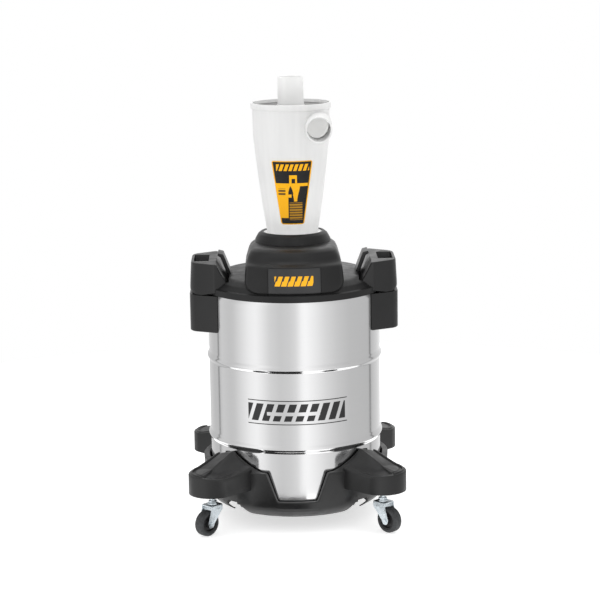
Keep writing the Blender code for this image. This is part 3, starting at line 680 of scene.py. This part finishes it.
class MESH_OT_collector_lid(bpy.types.Operator):
    """Build the lid: rim and deck, a recess at each latch, the housing with its front panel, and the collar"""

    bl_idname = "mesh.collector_lid"
    bl_label = "Lid"

    def execute(self, context):
        radius, deck_z = sizes().lid_radius, sizes().deck_height
        corners = [
            (0, deck_z - 0.012, 0),
            (0, deck_z - 0.0010, 0),
            (0.100, deck_z - 0.0030, 0.02),
            (0.146, deck_z - 0.0075, 0.03),
            (0.1620, deck_z - 0.0165, 0.012),
            (0.1700, 0.4690, 0.0012),
            (radius - 0.0002, 0.4668, 0.0016),
            (radius, 0.4550, 0.0010),
            (0.1737, 0.4550, 0.0005),
            (0.1737, 0.4640, 0.0005),
            (0.1650, 0.4640, 0.001),
        ]
        profile = np.concatenate([softened(corners, 7, closed=False), [(0, 0.4640)]])
        deck = turned("deck", profile, 320)
        for side in LEFT_RIGHT.values():
            plan = np.array([(0.1265, -0.0865), (0.2, -0.0865), (0.2, 0.0865), (0.1265, 0.0865)]) * (side, 1)
            carve(deck, slab("recess", plan[::side], 0.4660, 0.56, 0))
        rounded_edges(deck, 0.0008, 2, 40)
        housing = make_housing()
        panel = spaced(softened(box_plan(-0.051, 0.051, 0.4705, 0.5195, 0.004)), 160)
        cutter = slab("panel", panel, 0.12, 0.20, 0, place=UPRIGHT)
        keeper = make_housing()
        keeper.data.transform(Matrix.Translation((0, 0.0022, 0)))
        carve(cutter, keeper)
        carve(housing, cutter)
        lip = [(0.0560, 0.5640, 0), (0.0585, 0.5685, 0.001), (0.0620, 0.5685, 0.003), (0.0680, 0.5640, 0.006)]
        lip += [(0.0735, 0.5545, 0.006), (0.0765, 0.5465, 0.0015), (0.0745, 0.5440, 0.001)]
        lip += [(0.0745, 0.5400, 0)]
        collar = turned("collar", softened(lip, 6, closed=False), 192)
        seat = turned("seat", [(0.0465, 0.5570), (0.0600, 0.5570), (0.0600, 0.5640), (0.0560, 0.5640)], 192)
        ears = []
        for side in LEFT_RIGHT.values():
            root = [(-0.0218, 0.0060), (-0.0218, -0.0060)]
            ear = slab("ear", np.concatenate([arc((0, 0), 0.0060, -90, 90, 16), root]), -0.030, 0.030, 0.0008)
            flip = Matrix.Rotation(math.pi if side < 0 else 0, 4, "Y")
            ear.data.transform(Matrix.Translation((side * PIN_X, 0, PIN_Z)) @ UPRIGHT @ flip)
            ears.append(ear)
        lid = joined("lid_shell", [deck, housing, collar, seat, *ears])
        fit_piece(lid, "lid_shell", "lid", lid_plastic(), ["lid"], 34)
        return {"FINISHED"}


# ---- Nameplate ----
def housing_front(x, z):
    """The housing's front at a place across it: minus the root of the front radius squared less x squared."""
    heights = [0.4640, 0.4740, 0.4790, 0.4880, 0.5030, 0.5170, 0.5220]
    front = np.interp(z, heights, [0.166, 0.1722, 0.1718, 0.1698, 0.165, 0.160, 0.157])
    return -np.sqrt(front**2 - x**2)


@kept("nameplate_panel")
def panel_finish(name):
    """Satin panel with a plain yellow device: a row of slanted bars in two heights."""
    finish = Finish(name, (0.030, 0.030, 0.031), 0.4, Specular_IOR_Level=0.4)
    x, y, z = finish.axes()
    tall = lettering_bars(x, z, -0.038, 0.036, 0.4865, 0.5045, 0.0124)
    low = lettering_bars(x, z, -0.038, 0.036, 0.4865, 0.4955, 0.0062)
    mark = x.math("MAXIMUM", tall, low)
    ground = finish.wear((0.032, 0.032, 0.033), 0.9, 1.1, 0.02)
    gloss = finish.ease(finish.noise(0.01, 2), 0.3, 0.7, 0.36, 0.46)
    finish.show(Base_Color=finish.tint(mark, ground, colours().yellow), Roughness=gloss)
    finish.bump(finish.noise(0.0005, 2), 0.00003, 0.5)
    return finish.material


class MESH_OT_collector_nameplate(bpy.types.Operator):
    """Build the nameplate: a sheet bent to the housing's front, in its recess"""

    bl_idname = "mesh.collector_nameplate"
    bl_label = "Nameplate"

    def execute(self, context):
        x, z = np.meshgrid(np.linspace(-0.0500, 0.0500, 80), np.linspace(0.4715, 0.5185, 30))
        points = np.stack([x, housing_front(x, z) + 0.0014, z], -1)
        plate = mesh_from("nameplate", points, around=False)
        sheet = plate.modifiers.new("sheet", "SOLIDIFY")
        sheet.thickness, sheet.offset = 0.0010, 0
        settle(plate)
        fit_piece(plate, "name_panel", "lid", panel_finish(), ["nameplate"], 40)
        return {"FINISHED"}


# ---- Latches ----
def latch_plan(inner, shoulder, corner, grow=0.0):
    """A latch's plan at +X, anticlockwise, with its inner side at x = inner: straight ends, cut corners and a
    rounded outer side. The cover under a lever is grown a little all round."""
    front = arc((0.1733 + grow, -0.036 - grow), 0.030, -50, 0, 14)
    rear = arc((0.1733 + grow, 0.036 + grow), 0.030, 0, 50, 14)
    half = 0.084 + grow
    spots = [(*rear[-1], 0), (shoulder, half, 0.004), (inner, half, corner)]
    spots += [(inner, -half, corner), (shoulder, -half, 0.004), (*front[0], 0)]
    return np.concatenate([front, rear, softened(spots, 5, closed=False)[6:-6]])


class MESH_OT_collector_latches(bpy.types.Operator):
    """Build each latch: a lever with a finger slot, the clip behind it, and the cover on the drum below it"""

    bl_idname = "mesh.collector_latches"
    bl_label = "Latches"

    def execute(self, context):
        for name, side in LEFT_RIGHT.items():
            turn = Matrix.Rotation(0 if side > 0 else math.pi, 4, "Z")
            self.lever(name, turn)
            self.clip(name, side)
            self.bracket(name, turn)
        return {"FINISHED"}

    def lever(self, name, turn):
        """A block through plans at many heights. The inner face leans in by 0.44 of the height and the outer
        face by 0.055 of it, the foot slopes up inwards, and the outer corner is round about the pin."""
        low, high, edge, round_foot = 0.4541, 0.5160, 0.0018, 0.0103
        top_edge = high - edge * (1 - np.sin(np.linspace(0, np.pi / 2, 5)))
        levels = [np.linspace(low, PIN_Z, 14), np.linspace(0.468, high - 0.003, 16), top_edge]
        rows = []
        for z in np.concatenate(levels):
            plan = spaced(latch_plan(0.1290 + max(z - 0.4663, 0) * 0.44, 0.1560, 0.003), 200)
            plan = inset(plan, edge * (1 - math.cos(math.asin(np.clip((z - high) / edge + 1, 0, 1)))))
            plan[:, 0] -= np.clip((plan[:, 0] - 0.19) / 0.012, 0, 1) * max(z - 0.470, 0) * 0.055
            under = math.sqrt(max(1 - (min(z - PIN_Z, 0) / round_foot) ** 2, 0))
            plan[:, 0] = np.where(plan[:, 0] > PIN_X, PIN_X + (plan[:, 0] - PIN_X) * under, plan[:, 0])
            foot = 0.24 * np.clip(0.180 - plan[:, 0], 0, 1)
            rows.append(np.column_stack([plan, z + foot * (high - z) / (high - low)]))
        lever = mesh_from("lever", np.stack(rows), caps=True)
        slot = spaced(softened(box_plan(0.1660, 0.1955, -0.038, 0.038, 0.003)), 120)
        carve(lever, slab("slot", slot, 0.4885, 0.53, 0))
        hollow = spaced(np.array(box_plan(0.1500, 0.2000, -0.0315, 0.0315))[:, :2], 80)
        carve(lever, slab("hollow", hollow, 0.44, 0.4722, 0))
        rounded_edges(lever, 0.0007, 2, 50)
        lever.data.transform(turn)
        latch = name + "_latch"
        fit_piece(lever, latch + "_lever", latch, black_plastic(), [latch], 34)

    def clip(self, name, side):
        """A folded plate: its side view carried across, with rounded edges."""
        spots = [(0.1215, 0.4850, 0.0005), (0.1298, 0.4850, 0.0005), (0.1432, 0.5205, 0.002)]
        spots += [(0.1492, 0.5240, 0.0008), (0.1475, 0.5288, 0.0008), (0.1375, 0.5262, 0.002)]
        clip = slab("clip", spaced(softened(spots, 6), 90), -0.024, 0.024, 0.0008, place=UPRIGHT)
        clip.data.transform(Matrix.Rotation(0 if side > 0 else math.pi, 4, "Z"))
        fit_piece(clip, name + "_clip", "lid", black_plastic(), [name + "_latch_clip"], 34)

    def bracket(self, name, turn):
        """A cover with rounded edges whose inner side follows the drum."""
        plan = latch_plan(0.1500, 0.1520, 0.001, 0.0012)
        keep = plan[plan[:, 0] > 0.1545]
        half = np.degrees(np.arcsin(0.0815 / 0.1708))
        inner = arc((0, 0), 0.1708, half, -half, 40)
        order = np.argsort(np.arctan2(keep[:, 1], keep[:, 0]))
        outline = np.concatenate([keep[order], inner])
        cover = slab("cover", outline, 0.3800, 0.4528, 0.0006, 0.0024)
        cover.data.transform(turn)
        fit_piece(cover, name + "_cover", "base", black_plastic(), [name + "_bracket"], 34)


# ---- Cyclone ----
def body_radius(z):
    """The cyclone's outer radius at a height: a cone that steepens into a nearly upright top."""
    heights = [0.5665, 0.5750, 0.6050, 0.6470, 0.6930, 0.7240, 0.7400, 0.7570, 0.8085]
    radii = [0.0508, 0.0512, 0.0560, 0.0620, 0.0675, 0.0712, 0.0730, 0.0745, 0.0757]
    return np.interp(z, heights, radii)


@kept("natural_moulding")
def natural_plastic(name):
    """Pale unpigmented moulding: faint upright streaks, a milky depth, and a soft gloss. The cover's disc is
    greyer, and a faint glow inside the inlet, low on the cone and on the outlet stands for scattered light."""
    base = colours().natural
    finish = Finish(name, base, 0.5, Transmission_Weight=0.22, IOR=1.3, Specular_IOR_Level=0.4)
    streaks = finish.ease(finish.noise(0.010, 3, (1, 1, 0.06)), 0.3, 0.7)
    dark, pale = [channel * 0.975 for channel in base], [min(channel * 1.02, 1) for channel in base]
    x, y, z = finish.axes()
    across = (x * x + y * y).root()
    inner_cone = ((across + (0.757 - z) * 0.109) < 0.0730) * window(z, 0.715, 0.757)
    inner_wall = (across < 0.0733) * window(z, 0.757, 0.790)
    bore = (inner_cone + inner_wall) * window(x, 0.022, 0.080) * (y > 0.0)
    port = window(across, 0.0200, 0.0275) * (z > 0.820)
    disc = window(z, 0.810, 0.8190) * window(across, 0.0276, 0.0748)
    level = bore * 0.34 + finish.ease(z, 0.70, 0.60) * 0.07 + port * 0.06
    finish.show(Base_Color=finish.tint(disc, finish.tint(streaks, dark, pale), (0.26, 0.26, 0.256)))
    finish.show(Roughness=finish.ease(finish.noise(0.006, 3), 0.3, 0.7, 0.44, 0.56))
    glow = finish.node("ShaderNodeCombineColor", None, [level, level, level * 0.985])
    finish.show(Emission_Color=glow, Emission_Strength=1.0)
    finish.bump(finish.noise(0.004, 3), 0.00008, 0.3)
    return finish.material


class MESH_OT_collector_cyclone(bpy.types.Operator):
    """Build the cyclone: the tapered body with its inlet tube, and the cover with the outlet tube"""

    bl_idname = "mesh.collector_cyclone"
    bl_label = "Cyclone"

    def execute(self, context):
        lower = [(0.0430, 0.5405, 0), (0.0460, 0.5405, 0), (0.0460, 0.5607, 0), (0.0586, 0.5607, 0.0006)]
        lower += [(0.0586, 0.5663, 0.0010), (0.0512, 0.5668, 0.0015)]
        z = np.linspace(0.5700, 0.8060, 60)
        upper = [(0.0757, 0.8075, 0), (0.0757, 0.8085, 0.0010), (0.0786, 0.8110, 0.0008)]
        upper += [(0.0788, 0.8215, 0.0006), (0.0752, 0.8218, 0.0005), (0.0752, 0.8130, 0.0005)]
        upper += [(0.0722, 0.8120, 0.0005), (0.0715, 0.7570, 0), (0.0645, 0.6930, 0)]
        upper += [(0.0530, 0.6050, 0), (0.0440, 0.5600, 0)]
        wall = np.column_stack([body_radius(z), z])
        profile = np.concatenate([softened(lower, 5, False), wall, softened(upper, 5, False)])
        body = turned("body", profile, 224, ring=True)
        sideways = Matrix.Translation((INLET_X, 0, INLET_Z)) @ UPRIGHT
        tube = [(0.0279, -0.020), (0.0277, 0.030), (0.0268, 0.056), (0.0260, 0.066), (0.0256, 0.080)]
        tube += [(0.0254, 0.1212), (0.0248, 0.1220), (0.0231, 0.1220)]
        tube += [(PORT_BORE, 0.1212), (PORT_BORE, -0.020)]
        inlet = turned("inlet", tube, 96, ring=True, place=sideways)
        room = [(0, 0.8160), (0.0730, 0.8160), (0.0728, 0.7570), (0.0695, 0.7240), (0, 0.7240)]
        carve(inlet, turned("room", room, 160))
        hole = [(0, -0.001), (PORT_BORE, -0.001), (PORT_BORE, 0.14), (0, 0.14)]
        carve(body, turned("hole", hole, 96, place=sideways))
        whole = joined("cyclone", [body, inlet, self.fillet()])
        finish = natural_plastic()
        fit_piece(whole, "cyclone_shell", "lid", finish, ["cyclone_body"], 38)
        self.cover()
        return {"FINISHED"}

    def fillet(self):
        """A small bead where the inlet leaves the body: a thin tube along their meeting curve, whose points
        lie at the inlet's radius about its axis and at the body's radius about its own."""
        turn = 2 * np.pi * np.arange(160) / 160
        x, z = INLET_X + 0.0268 * np.cos(turn), INLET_Z + 0.0268 * np.sin(turn)
        radius = body_radius(z)
        inside = x < radius - 0.0002
        y = -np.sqrt(np.maximum(radius**2 - x**2, 0.0))
        path = np.stack([x, np.where(inside, y, -0.004), z], -1)[inside]
        start = np.argmax(np.linalg.norm(np.diff(path, axis=0), axis=1)) + 1
        path = np.roll(path, -start, 0)
        along = np.gradient(path, axis=0)
        along /= np.linalg.norm(along, axis=1, keepdims=True)
        out = np.stack([path[:, 0], path[:, 1], 0 * path[:, 2]], -1)
        out /= np.linalg.norm(out, axis=1, keepdims=True)
        side = np.cross(along, out)
        round_turn = 2 * np.pi * np.arange(12) / 12
        ring = out[:, None] * np.cos(round_turn)[:, None] + side[:, None] * np.sin(round_turn)[:, None]
        return mesh_from("fillet", path[:, None] + 0.0016 * ring, caps=True)

    def cover(self):
        """The cover: a recessed disc with a raised ring, and the outlet tube standing through it."""
        spots = [(PORT_BORE, 0.7225, 0), (PORT_BORE, 0.8712, 0.0006), (0.0250, 0.8718, 0.0006)]
        spots += [(0.0253, 0.8300, 0.001), (0.0262, 0.8165, 0.0015), (0.0560, 0.8158, 0.001)]
        spots += [(0.0565, 0.8172, 0.0004), (0.0590, 0.8172, 0.0004), (0.0595, 0.8156, 0.001)]
        spots += [(0.0748, 0.8154, 0.0006), (0.0748, 0.8127, 0.0004), (0.0254, 0.8127, 0.001)]
        cover = turned("cover", softened([*spots, (0.0254, 0.7225, 0)], 4), 192, ring=True)
        finish = natural_plastic()
        fit_piece(cover, "cyclone_top", "lid", finish, ["cyclone_cover"], 38)


def film_half(z):
    """Half the film's width at a height."""
    return 0.0222 + (z - FILM_LOW) * (0.0178 / 0.126)


@kept("cyclone_film")
def film_finish(name):
    """Printed film: a yellow edge, a black ground, and plain yellow shapes for what such a film shows."""
    finish = Finish(name, (0.01, 0.01, 0.01), 0.3, Specular_IOR_Level=0.25)
    x, y, z = finish.axes()
    edge = ((film_half(z) - abs(x)) < 0.0020) + (z > 0.7122) + (z < 0.5898)
    title = lettering_bars(x, z, -0.031, 0.033, 0.6945, 0.7075, 0.0094)
    column = (x < -0.0080) * window(z, 0.6010, 0.6640) + window(z, 0.6640, 0.6700) * (x < 0.030)
    notes = window(x, -0.027, -0.0135) * lettering_bars(z, x, 0.646, 0.660, -1, 1, 0.0062, 0)
    hood = (abs(x - 0.0015) < 0.0075) * window(z, 0.6640, 0.6860)
    hood_hole = (abs(x - 0.0020) < 0.0035) * window(z, 0.6640, 0.6790)
    funnel_half = finish.ease(z, 0.634, 0.668) * 0.0060 + 0.0030
    funnel = (abs(x - 0.0060) < funnel_half) * window(z, 0.6340, 0.6640)
    wedge = (abs(x + 0.0035) < (finish.ease(z, 0.672, 0.648) * 0.0050)) * window(z, 0.6480, 0.6640)
    arm_part = (abs(x + 0.0060) < 0.0042) * window(z, 0.6420, 0.6640) - wedge
    thin = window(x, -0.006, 0.019) * lettering_bars(z, x, 0.597, 0.632, -1, 1, 0.0052, 0) * 0.45
    yellow = edge + title + (column - notes * 0.85) + (hood - hood_hole) + funnel + arm_part + thin
    mask = finish.node("ShaderNodeClamp", None, [yellow])
    ground = finish.wear((0.013, 0.013, 0.013), 0.9, 1.15, 0.01)
    gloss = finish.ease(finish.noise(0.02, 2), 0.3, 0.7, 0.26, 0.36)
    finish.show(Base_Color=finish.tint(mask, ground, colours().yellow), Roughness=gloss)
    return finish.material


class MESH_OT_collector_film(bpy.types.Operator):
    """Build the printed film: a thin sheet over a trapezoid with round corners, bent to the cone"""

    bl_idname = "mesh.collector_film"
    bl_label = "Film"

    def execute(self, context):
        low, high, corner = FILM_LOW, FILM_HIGH, 0.0045
        bend = corner * (1 - np.cos(np.linspace(0, np.pi / 2, 8)))
        z = np.concatenate([low + bend, np.linspace(low + corner, high - corner, 60)[1:-1], high - bend[::-1]])
        short = corner - np.minimum(np.minimum(z - low, high - z), corner)
        half = film_half(z) - corner + np.sqrt(np.maximum(corner**2 - short**2, 0))
        x = half[:, None] * np.linspace(-1, 1, 48)
        radius = body_radius(z)[:, None] + 0.00035
        points = np.stack([x, -np.sqrt(radius**2 - x**2), z[:, None] + 0 * x], -1)
        film = mesh_from("film", points, around=False)
        sheet = film.modifiers.new("sheet", "SOLIDIFY")
        sheet.thickness, sheet.offset = 0.0002, 0
        settle(film)
        fit_piece(film, "cone_film", "lid", film_finish(), sharp=50)
        return {"FINISHED"}


# ---- Casters ----
class MESH_OT_collector_casters(bpy.types.Operator):
    """Build each caster's folded fork, dished hub and round-shouldered tyre"""

    bl_idname = "mesh.collector_casters"
    bl_label = "Casters"

    def execute(self, context):
        for corner, angle in CORNERS.items():
            self.fork(corner, angle)
            self.wheel(corner, angle)
        return {"FINISHED"}

    def fork(self, corner, angle):
        """A top plate and two legs with round feet, each a plate with rounded edges."""
        spots = softened(box_plan(-0.0140, 0.0170, -0.0140, 0.0140, 0.003), 6)
        plate = slab("plate", spaced(spots, 80), 0.0577, 0.0604, 0.0011, 0.0005)
        leg = [(-0.0128, 0.0592, 0.001), (-0.0124, 0.0500, 0.004), (TRAIL - 0.0082, AXLE_Z + 0.001, 0.003)]
        leg += [(TRAIL - 0.0040, AXLE_Z - 0.0078, 0.005), (TRAIL + 0.0060, AXLE_Z - 0.0070, 0.005)]
        leg += [(TRAIL + 0.0082, AXLE_Z + 0.0030, 0.004), (0.0166, 0.0520, 0.004), (0.0162, 0.0592, 0.001)]
        rib = [(-0.0070, 0.0540, 0.002), (0.0095, 0.0310, 0.002), (0.0135, 0.0330, 0.002), (0.0060, 0.0540, 0.002)]
        leg, rib = spaced(softened(leg, 6), 110), spaced(softened(rib, 5), 60)
        pieces = [plate]
        for side in (-1, 1):
            place = Matrix.Translation((0, side * 0.0132, 0)) @ UPRIGHT
            pieces.append(slab("leg", leg, -0.0010, 0.0010, 0.0006, place=place))
            place = Matrix.Translation((0, side * 0.0138, 0)) @ UPRIGHT
            pieces.append(slab("rib", rib, -0.0008, 0.0008, 0.0007, place=place))
        race = [(0, 0.0640), (0.0052, 0.0640), (0.0052, 0.0634), (0.0098, 0.0628), (0.0105, 0.0604)]
        race.append((0, 0.0604))
        pieces.append(turned("race", race, 48))
        fork = joined("fork", pieces)
        fork.data.transform(about(angle, ARM_REACH))
        node = corner + "_caster_fork"
        fit_piece(fork, corner + "_fork", corner + "_swivel", zinc_finish(), [node], 36)

    def wheel(self, corner, angle):
        """The hub and the tyre turned about the axle."""
        place = about(angle, ARM_REACH + TRAIL) @ Matrix.Translation((0, 0, AXLE_Z)) @ UPRIGHT
        half = [(0.0033, 0.0100, 0), (0.0075, 0.0100, 0.0008), (0.0082, 0.0045, 0.0015), (0.0140, 0.0042, 0.0015)]
        half += [(0.0150, 0.0088, 0.0008), (0.0178, 0.0090, 0.0005)]
        hub_line = half + [(r, -z, bend) for r, z, bend in half[::-1]]
        hub = turned("hub", softened(hub_line, 4), 64, ring=True, place=place)
        radius = sizes().wheel_radius
        side = [(0.0179, 0.0098, 0.0005), (radius - 0.0040, 0.0100, 0.0020), (radius - 0.0004, 0.0076, 0.0030)]
        tyre_line = side + [(r, -z, bend) for r, z, bend in side[::-1]]
        tyre_line.insert(3, (radius, 0.0, 0.012))
        tyre = turned("tyre", softened(tyre_line, 6), 96, ring=True, place=place)
        body = corner + "_wheel"
        fit_piece(hub, corner + "_hub", body, hub_plastic(), [corner + "_wheel_hub"], 40)
        fit_piece(tyre, corner + "_tread", body, rubber_finish(), [corner + "_tyre"], 40)


# ---- Finishes of the CAD's own pieces ----
class MESH_OT_collector_finishes(bpy.types.Operator):
    """Give every CAD piece that still shows a worked finish of its own"""

    bl_idname = "mesh.collector_finishes"
    bl_label = "Finishes of the frame"

    def execute(self, context):
        for name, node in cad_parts.items():
            if any(word in name for word in ("rivet", "screw", "stem", "pin", "axle")):
                finish = zinc_finish()
            elif name == "drum_base":
                finish = plain_steel()
            elif name in ("lid_seal", "cyclone_gasket"):
                finish = rubber_finish()
            else:
                finish = black_plastic()
            for slot in node.material_slots:
                slot.material = finish
        return {"FINISHED"}


# ---- Stage ----
class SCENE_OT_collector_stage(bpy.types.Operator):
    """Set the floor, the soft lights, the cards that the steel reflects, and the camera"""

    bl_idname = "scene.collector_stage"
    bl_label = "Stage"

    def execute(self, context):
        scene = context.scene
        scene.view_settings.view_transform = "Standard"
        scene.view_settings.look = "None"
        self.world(scene)
        self.floor()
        self.reflected_card()
        self.dark_patch()
        self.lights()
        self.camera(scene)
        return {"FINISHED"}

    def world(self, scene):
        """A plain white surround."""
        world = bpy.data.worlds.new("studio")
        world.use_nodes = True
        world.node_tree.nodes["Background"].inputs["Color"].default_value = (1, 1, 1, 1)
        world.node_tree.nodes["Background"].inputs["Strength"].default_value = 1.0
        scene.world = world

    def floor(self):
        """A round pale floor."""
        disc = turned("studio_floor", [(0, 0), (0.6, 0), (1.6, 0)], 96)
        if disc.data.polygons[0].normal.z < 0:
            disc.data.flip_normals()
        finish = Finish("studio_floor", (0.80, 0.80, 0.80), 0.8, Specular_IOR_Level=0.1)
        finish.show(Emission_Color=(1, 1, 1, 1), Emission_Strength=0.6)
        disc.data.materials.append(finish.material)

    def reflected_card(self):
        """A ring that only reflections see: bright and dim bands by azimuth, as soft boxes make them."""
        bands = {-180: 0.9, -116: 0.60, -106: 0.61, -104.8: 0.25, -102.8: 0.25, -101.6: 0.63, -95: 0.72}
        bands |= {-80: 0.66, -73: 0.69, -61: 0.88, -51: 1.04, -43: 1.10, -36: 0.99, -27: 0.8, -16: 0.71}
        bands |= {-6: 0.75, 0.5: 0.84, 7: 1.11, 11: 1.16, 20: 1.04, 33: 0.84, 47: 0.70, 63: 0.61, 81: 0.59}
        bands |= {98: 0.57, 99.2: 0.25, 101.5: 0.25, 103: 0.6, 128: 0.8, 180: 0.9}
        brightest = 1.3
        card = turned("reflected_card", [(0.42, 0.0), (0.42, 2.2)], 160)
        finish = Finish("reflected_card", (0, 0, 0), 1.0)
        x, y, z = finish.axes()
        turn = finish.round_wall(x, y) / (WALL * 2 * math.pi) + 0.5
        stops = [(degree / 360 + 0.5, (*[level / brightest] * 3, 1)) for degree, level in bands.items()]
        colour = finish.node("ShaderNodeValToRGB", {"stops": stops}, [turn])
        glow = finish.tree.nodes.new("ShaderNodeEmission")
        finish.feed(glow, {"Color": colour, "Strength": brightest})
        output = finish.tree.nodes["Material Output"]
        finish.tree.links.new(glow.outputs[0], output.inputs[0])
        card.data.materials.append(finish.material)
        card.visible_camera = card.visible_diffuse = card.visible_shadow = False
        card.visible_transmission = card.visible_volume_scatter = False

    def dark_patch(self):
        """A dark sector on the floor in front that only reflections see, which the drum's beads pick up."""
        angles = np.radians(np.linspace(-127, -80.5, 40))
        radius = np.array([0.215, 0.41])[:, None]
        points = np.stack([radius * np.cos(angles), radius * np.sin(angles), 0.001 + 0 * radius * angles], -1)
        patch = mesh_from("dark_patch", points, around=False)
        patch.data.materials.append(Finish("dark_patch", (0.01, 0.01, 0.01), 0.9).material)
        patch.visible_camera = patch.visible_diffuse = patch.visible_shadow = False

    def lights(self):
        """Two large soft lights, from above and from the front left."""
        for name, place, aim, width, power in (
            ("overhead", (0.2, 0.3, 2.6), (0, 0, 0.4), 2.2, 16.0),
            ("front_left", (-2.0, -2.6, 1.9), (0, 0, 0.4), 1.6, 8.0),
        ):
            data = bpy.data.lights.new(name, "AREA")
            data.size, data.energy = width, power
            light = bpy.data.objects.new(name, data)
            bpy.context.scene.collection.objects.link(light)
            toward = np.array(aim) - np.array(place)
            turn = Matrix.Rotation(math.atan2(toward[0], -toward[1]), 4, "Z")
            tilt = Matrix.Rotation(math.acos(-toward[2] / np.linalg.norm(toward)), 4, "X")
            light.matrix_world = Matrix.Translation(place) @ turn @ tilt
            light.visible_glossy = name == "overhead"

    def camera(self, scene):
        """A long lens a little above the drum's middle height, looking slightly down."""
        data = bpy.data.cameras.new("camera")
        data.lens, data.sensor_width = 120.35, 36.0
        camera = bpy.data.objects.new("camera", data)
        scene.collection.objects.link(camera)
        yaw, pitch, roll = -math.radians(0.9), math.pi / 2 - 0.1887, -0.0148
        turn = Matrix.Rotation(yaw, 4, "Z") @ Matrix.Rotation(pitch, 4, "X") @ Matrix.Rotation(roll, 4, "Z")
        camera.matrix_world = Matrix.Translation((-0.049, -3.917, 1.176)) @ turn
        scene.camera = camera


BUILDERS = (
    MESH_OT_collector_dolly,
    MESH_OT_collector_drum,
    MESH_OT_collector_lid,
    MESH_OT_collector_nameplate,
    MESH_OT_collector_latches,
    MESH_OT_collector_cyclone,
    MESH_OT_collector_film,
    MESH_OT_collector_casters,
    MESH_OT_collector_finishes,
    SCENE_OT_collector_stage,
)


class VIEW3D_PT_collector(bpy.types.Panel):
    """The sizes, the colours and a button for each builder"""

    bl_label = "Dust collector"
    bl_idname = "VIEW3D_PT_collector"
    bl_space_type = "VIEW_3D"
    bl_region_type = "UI"
    bl_category = "Collector"

    def draw(self, context):
        for group in (context.scene.collector_sizes, context.scene.collector_colours):
            box = self.layout.box()
            for key in group.__annotations__:
                box.prop(group, key)
        for builder in BUILDERS:
            self.layout.operator(builder.bl_idname)


CLASSES = (CollectorSizes, CollectorColours, *BUILDERS, VIEW3D_PT_collector)


def register():
    for cls in CLASSES:
        bpy.utils.register_class(cls)
    bpy.types.Scene.collector_sizes = bpy.props.PointerProperty(type=CollectorSizes)
    bpy.types.Scene.collector_colours = bpy.props.PointerProperty(type=CollectorColours)


def unregister():
    del bpy.types.Scene.collector_sizes, bpy.types.Scene.collector_colours
    for cls in reversed(CLASSES):
        bpy.utils.unregister_class(cls)


def main():
    register()
    for builder in BUILDERS:
        family, action = builder.bl_idname.split(".")
        getattr(getattr(bpy.ops, family), action)()


if __name__ == "__main__":
    main()
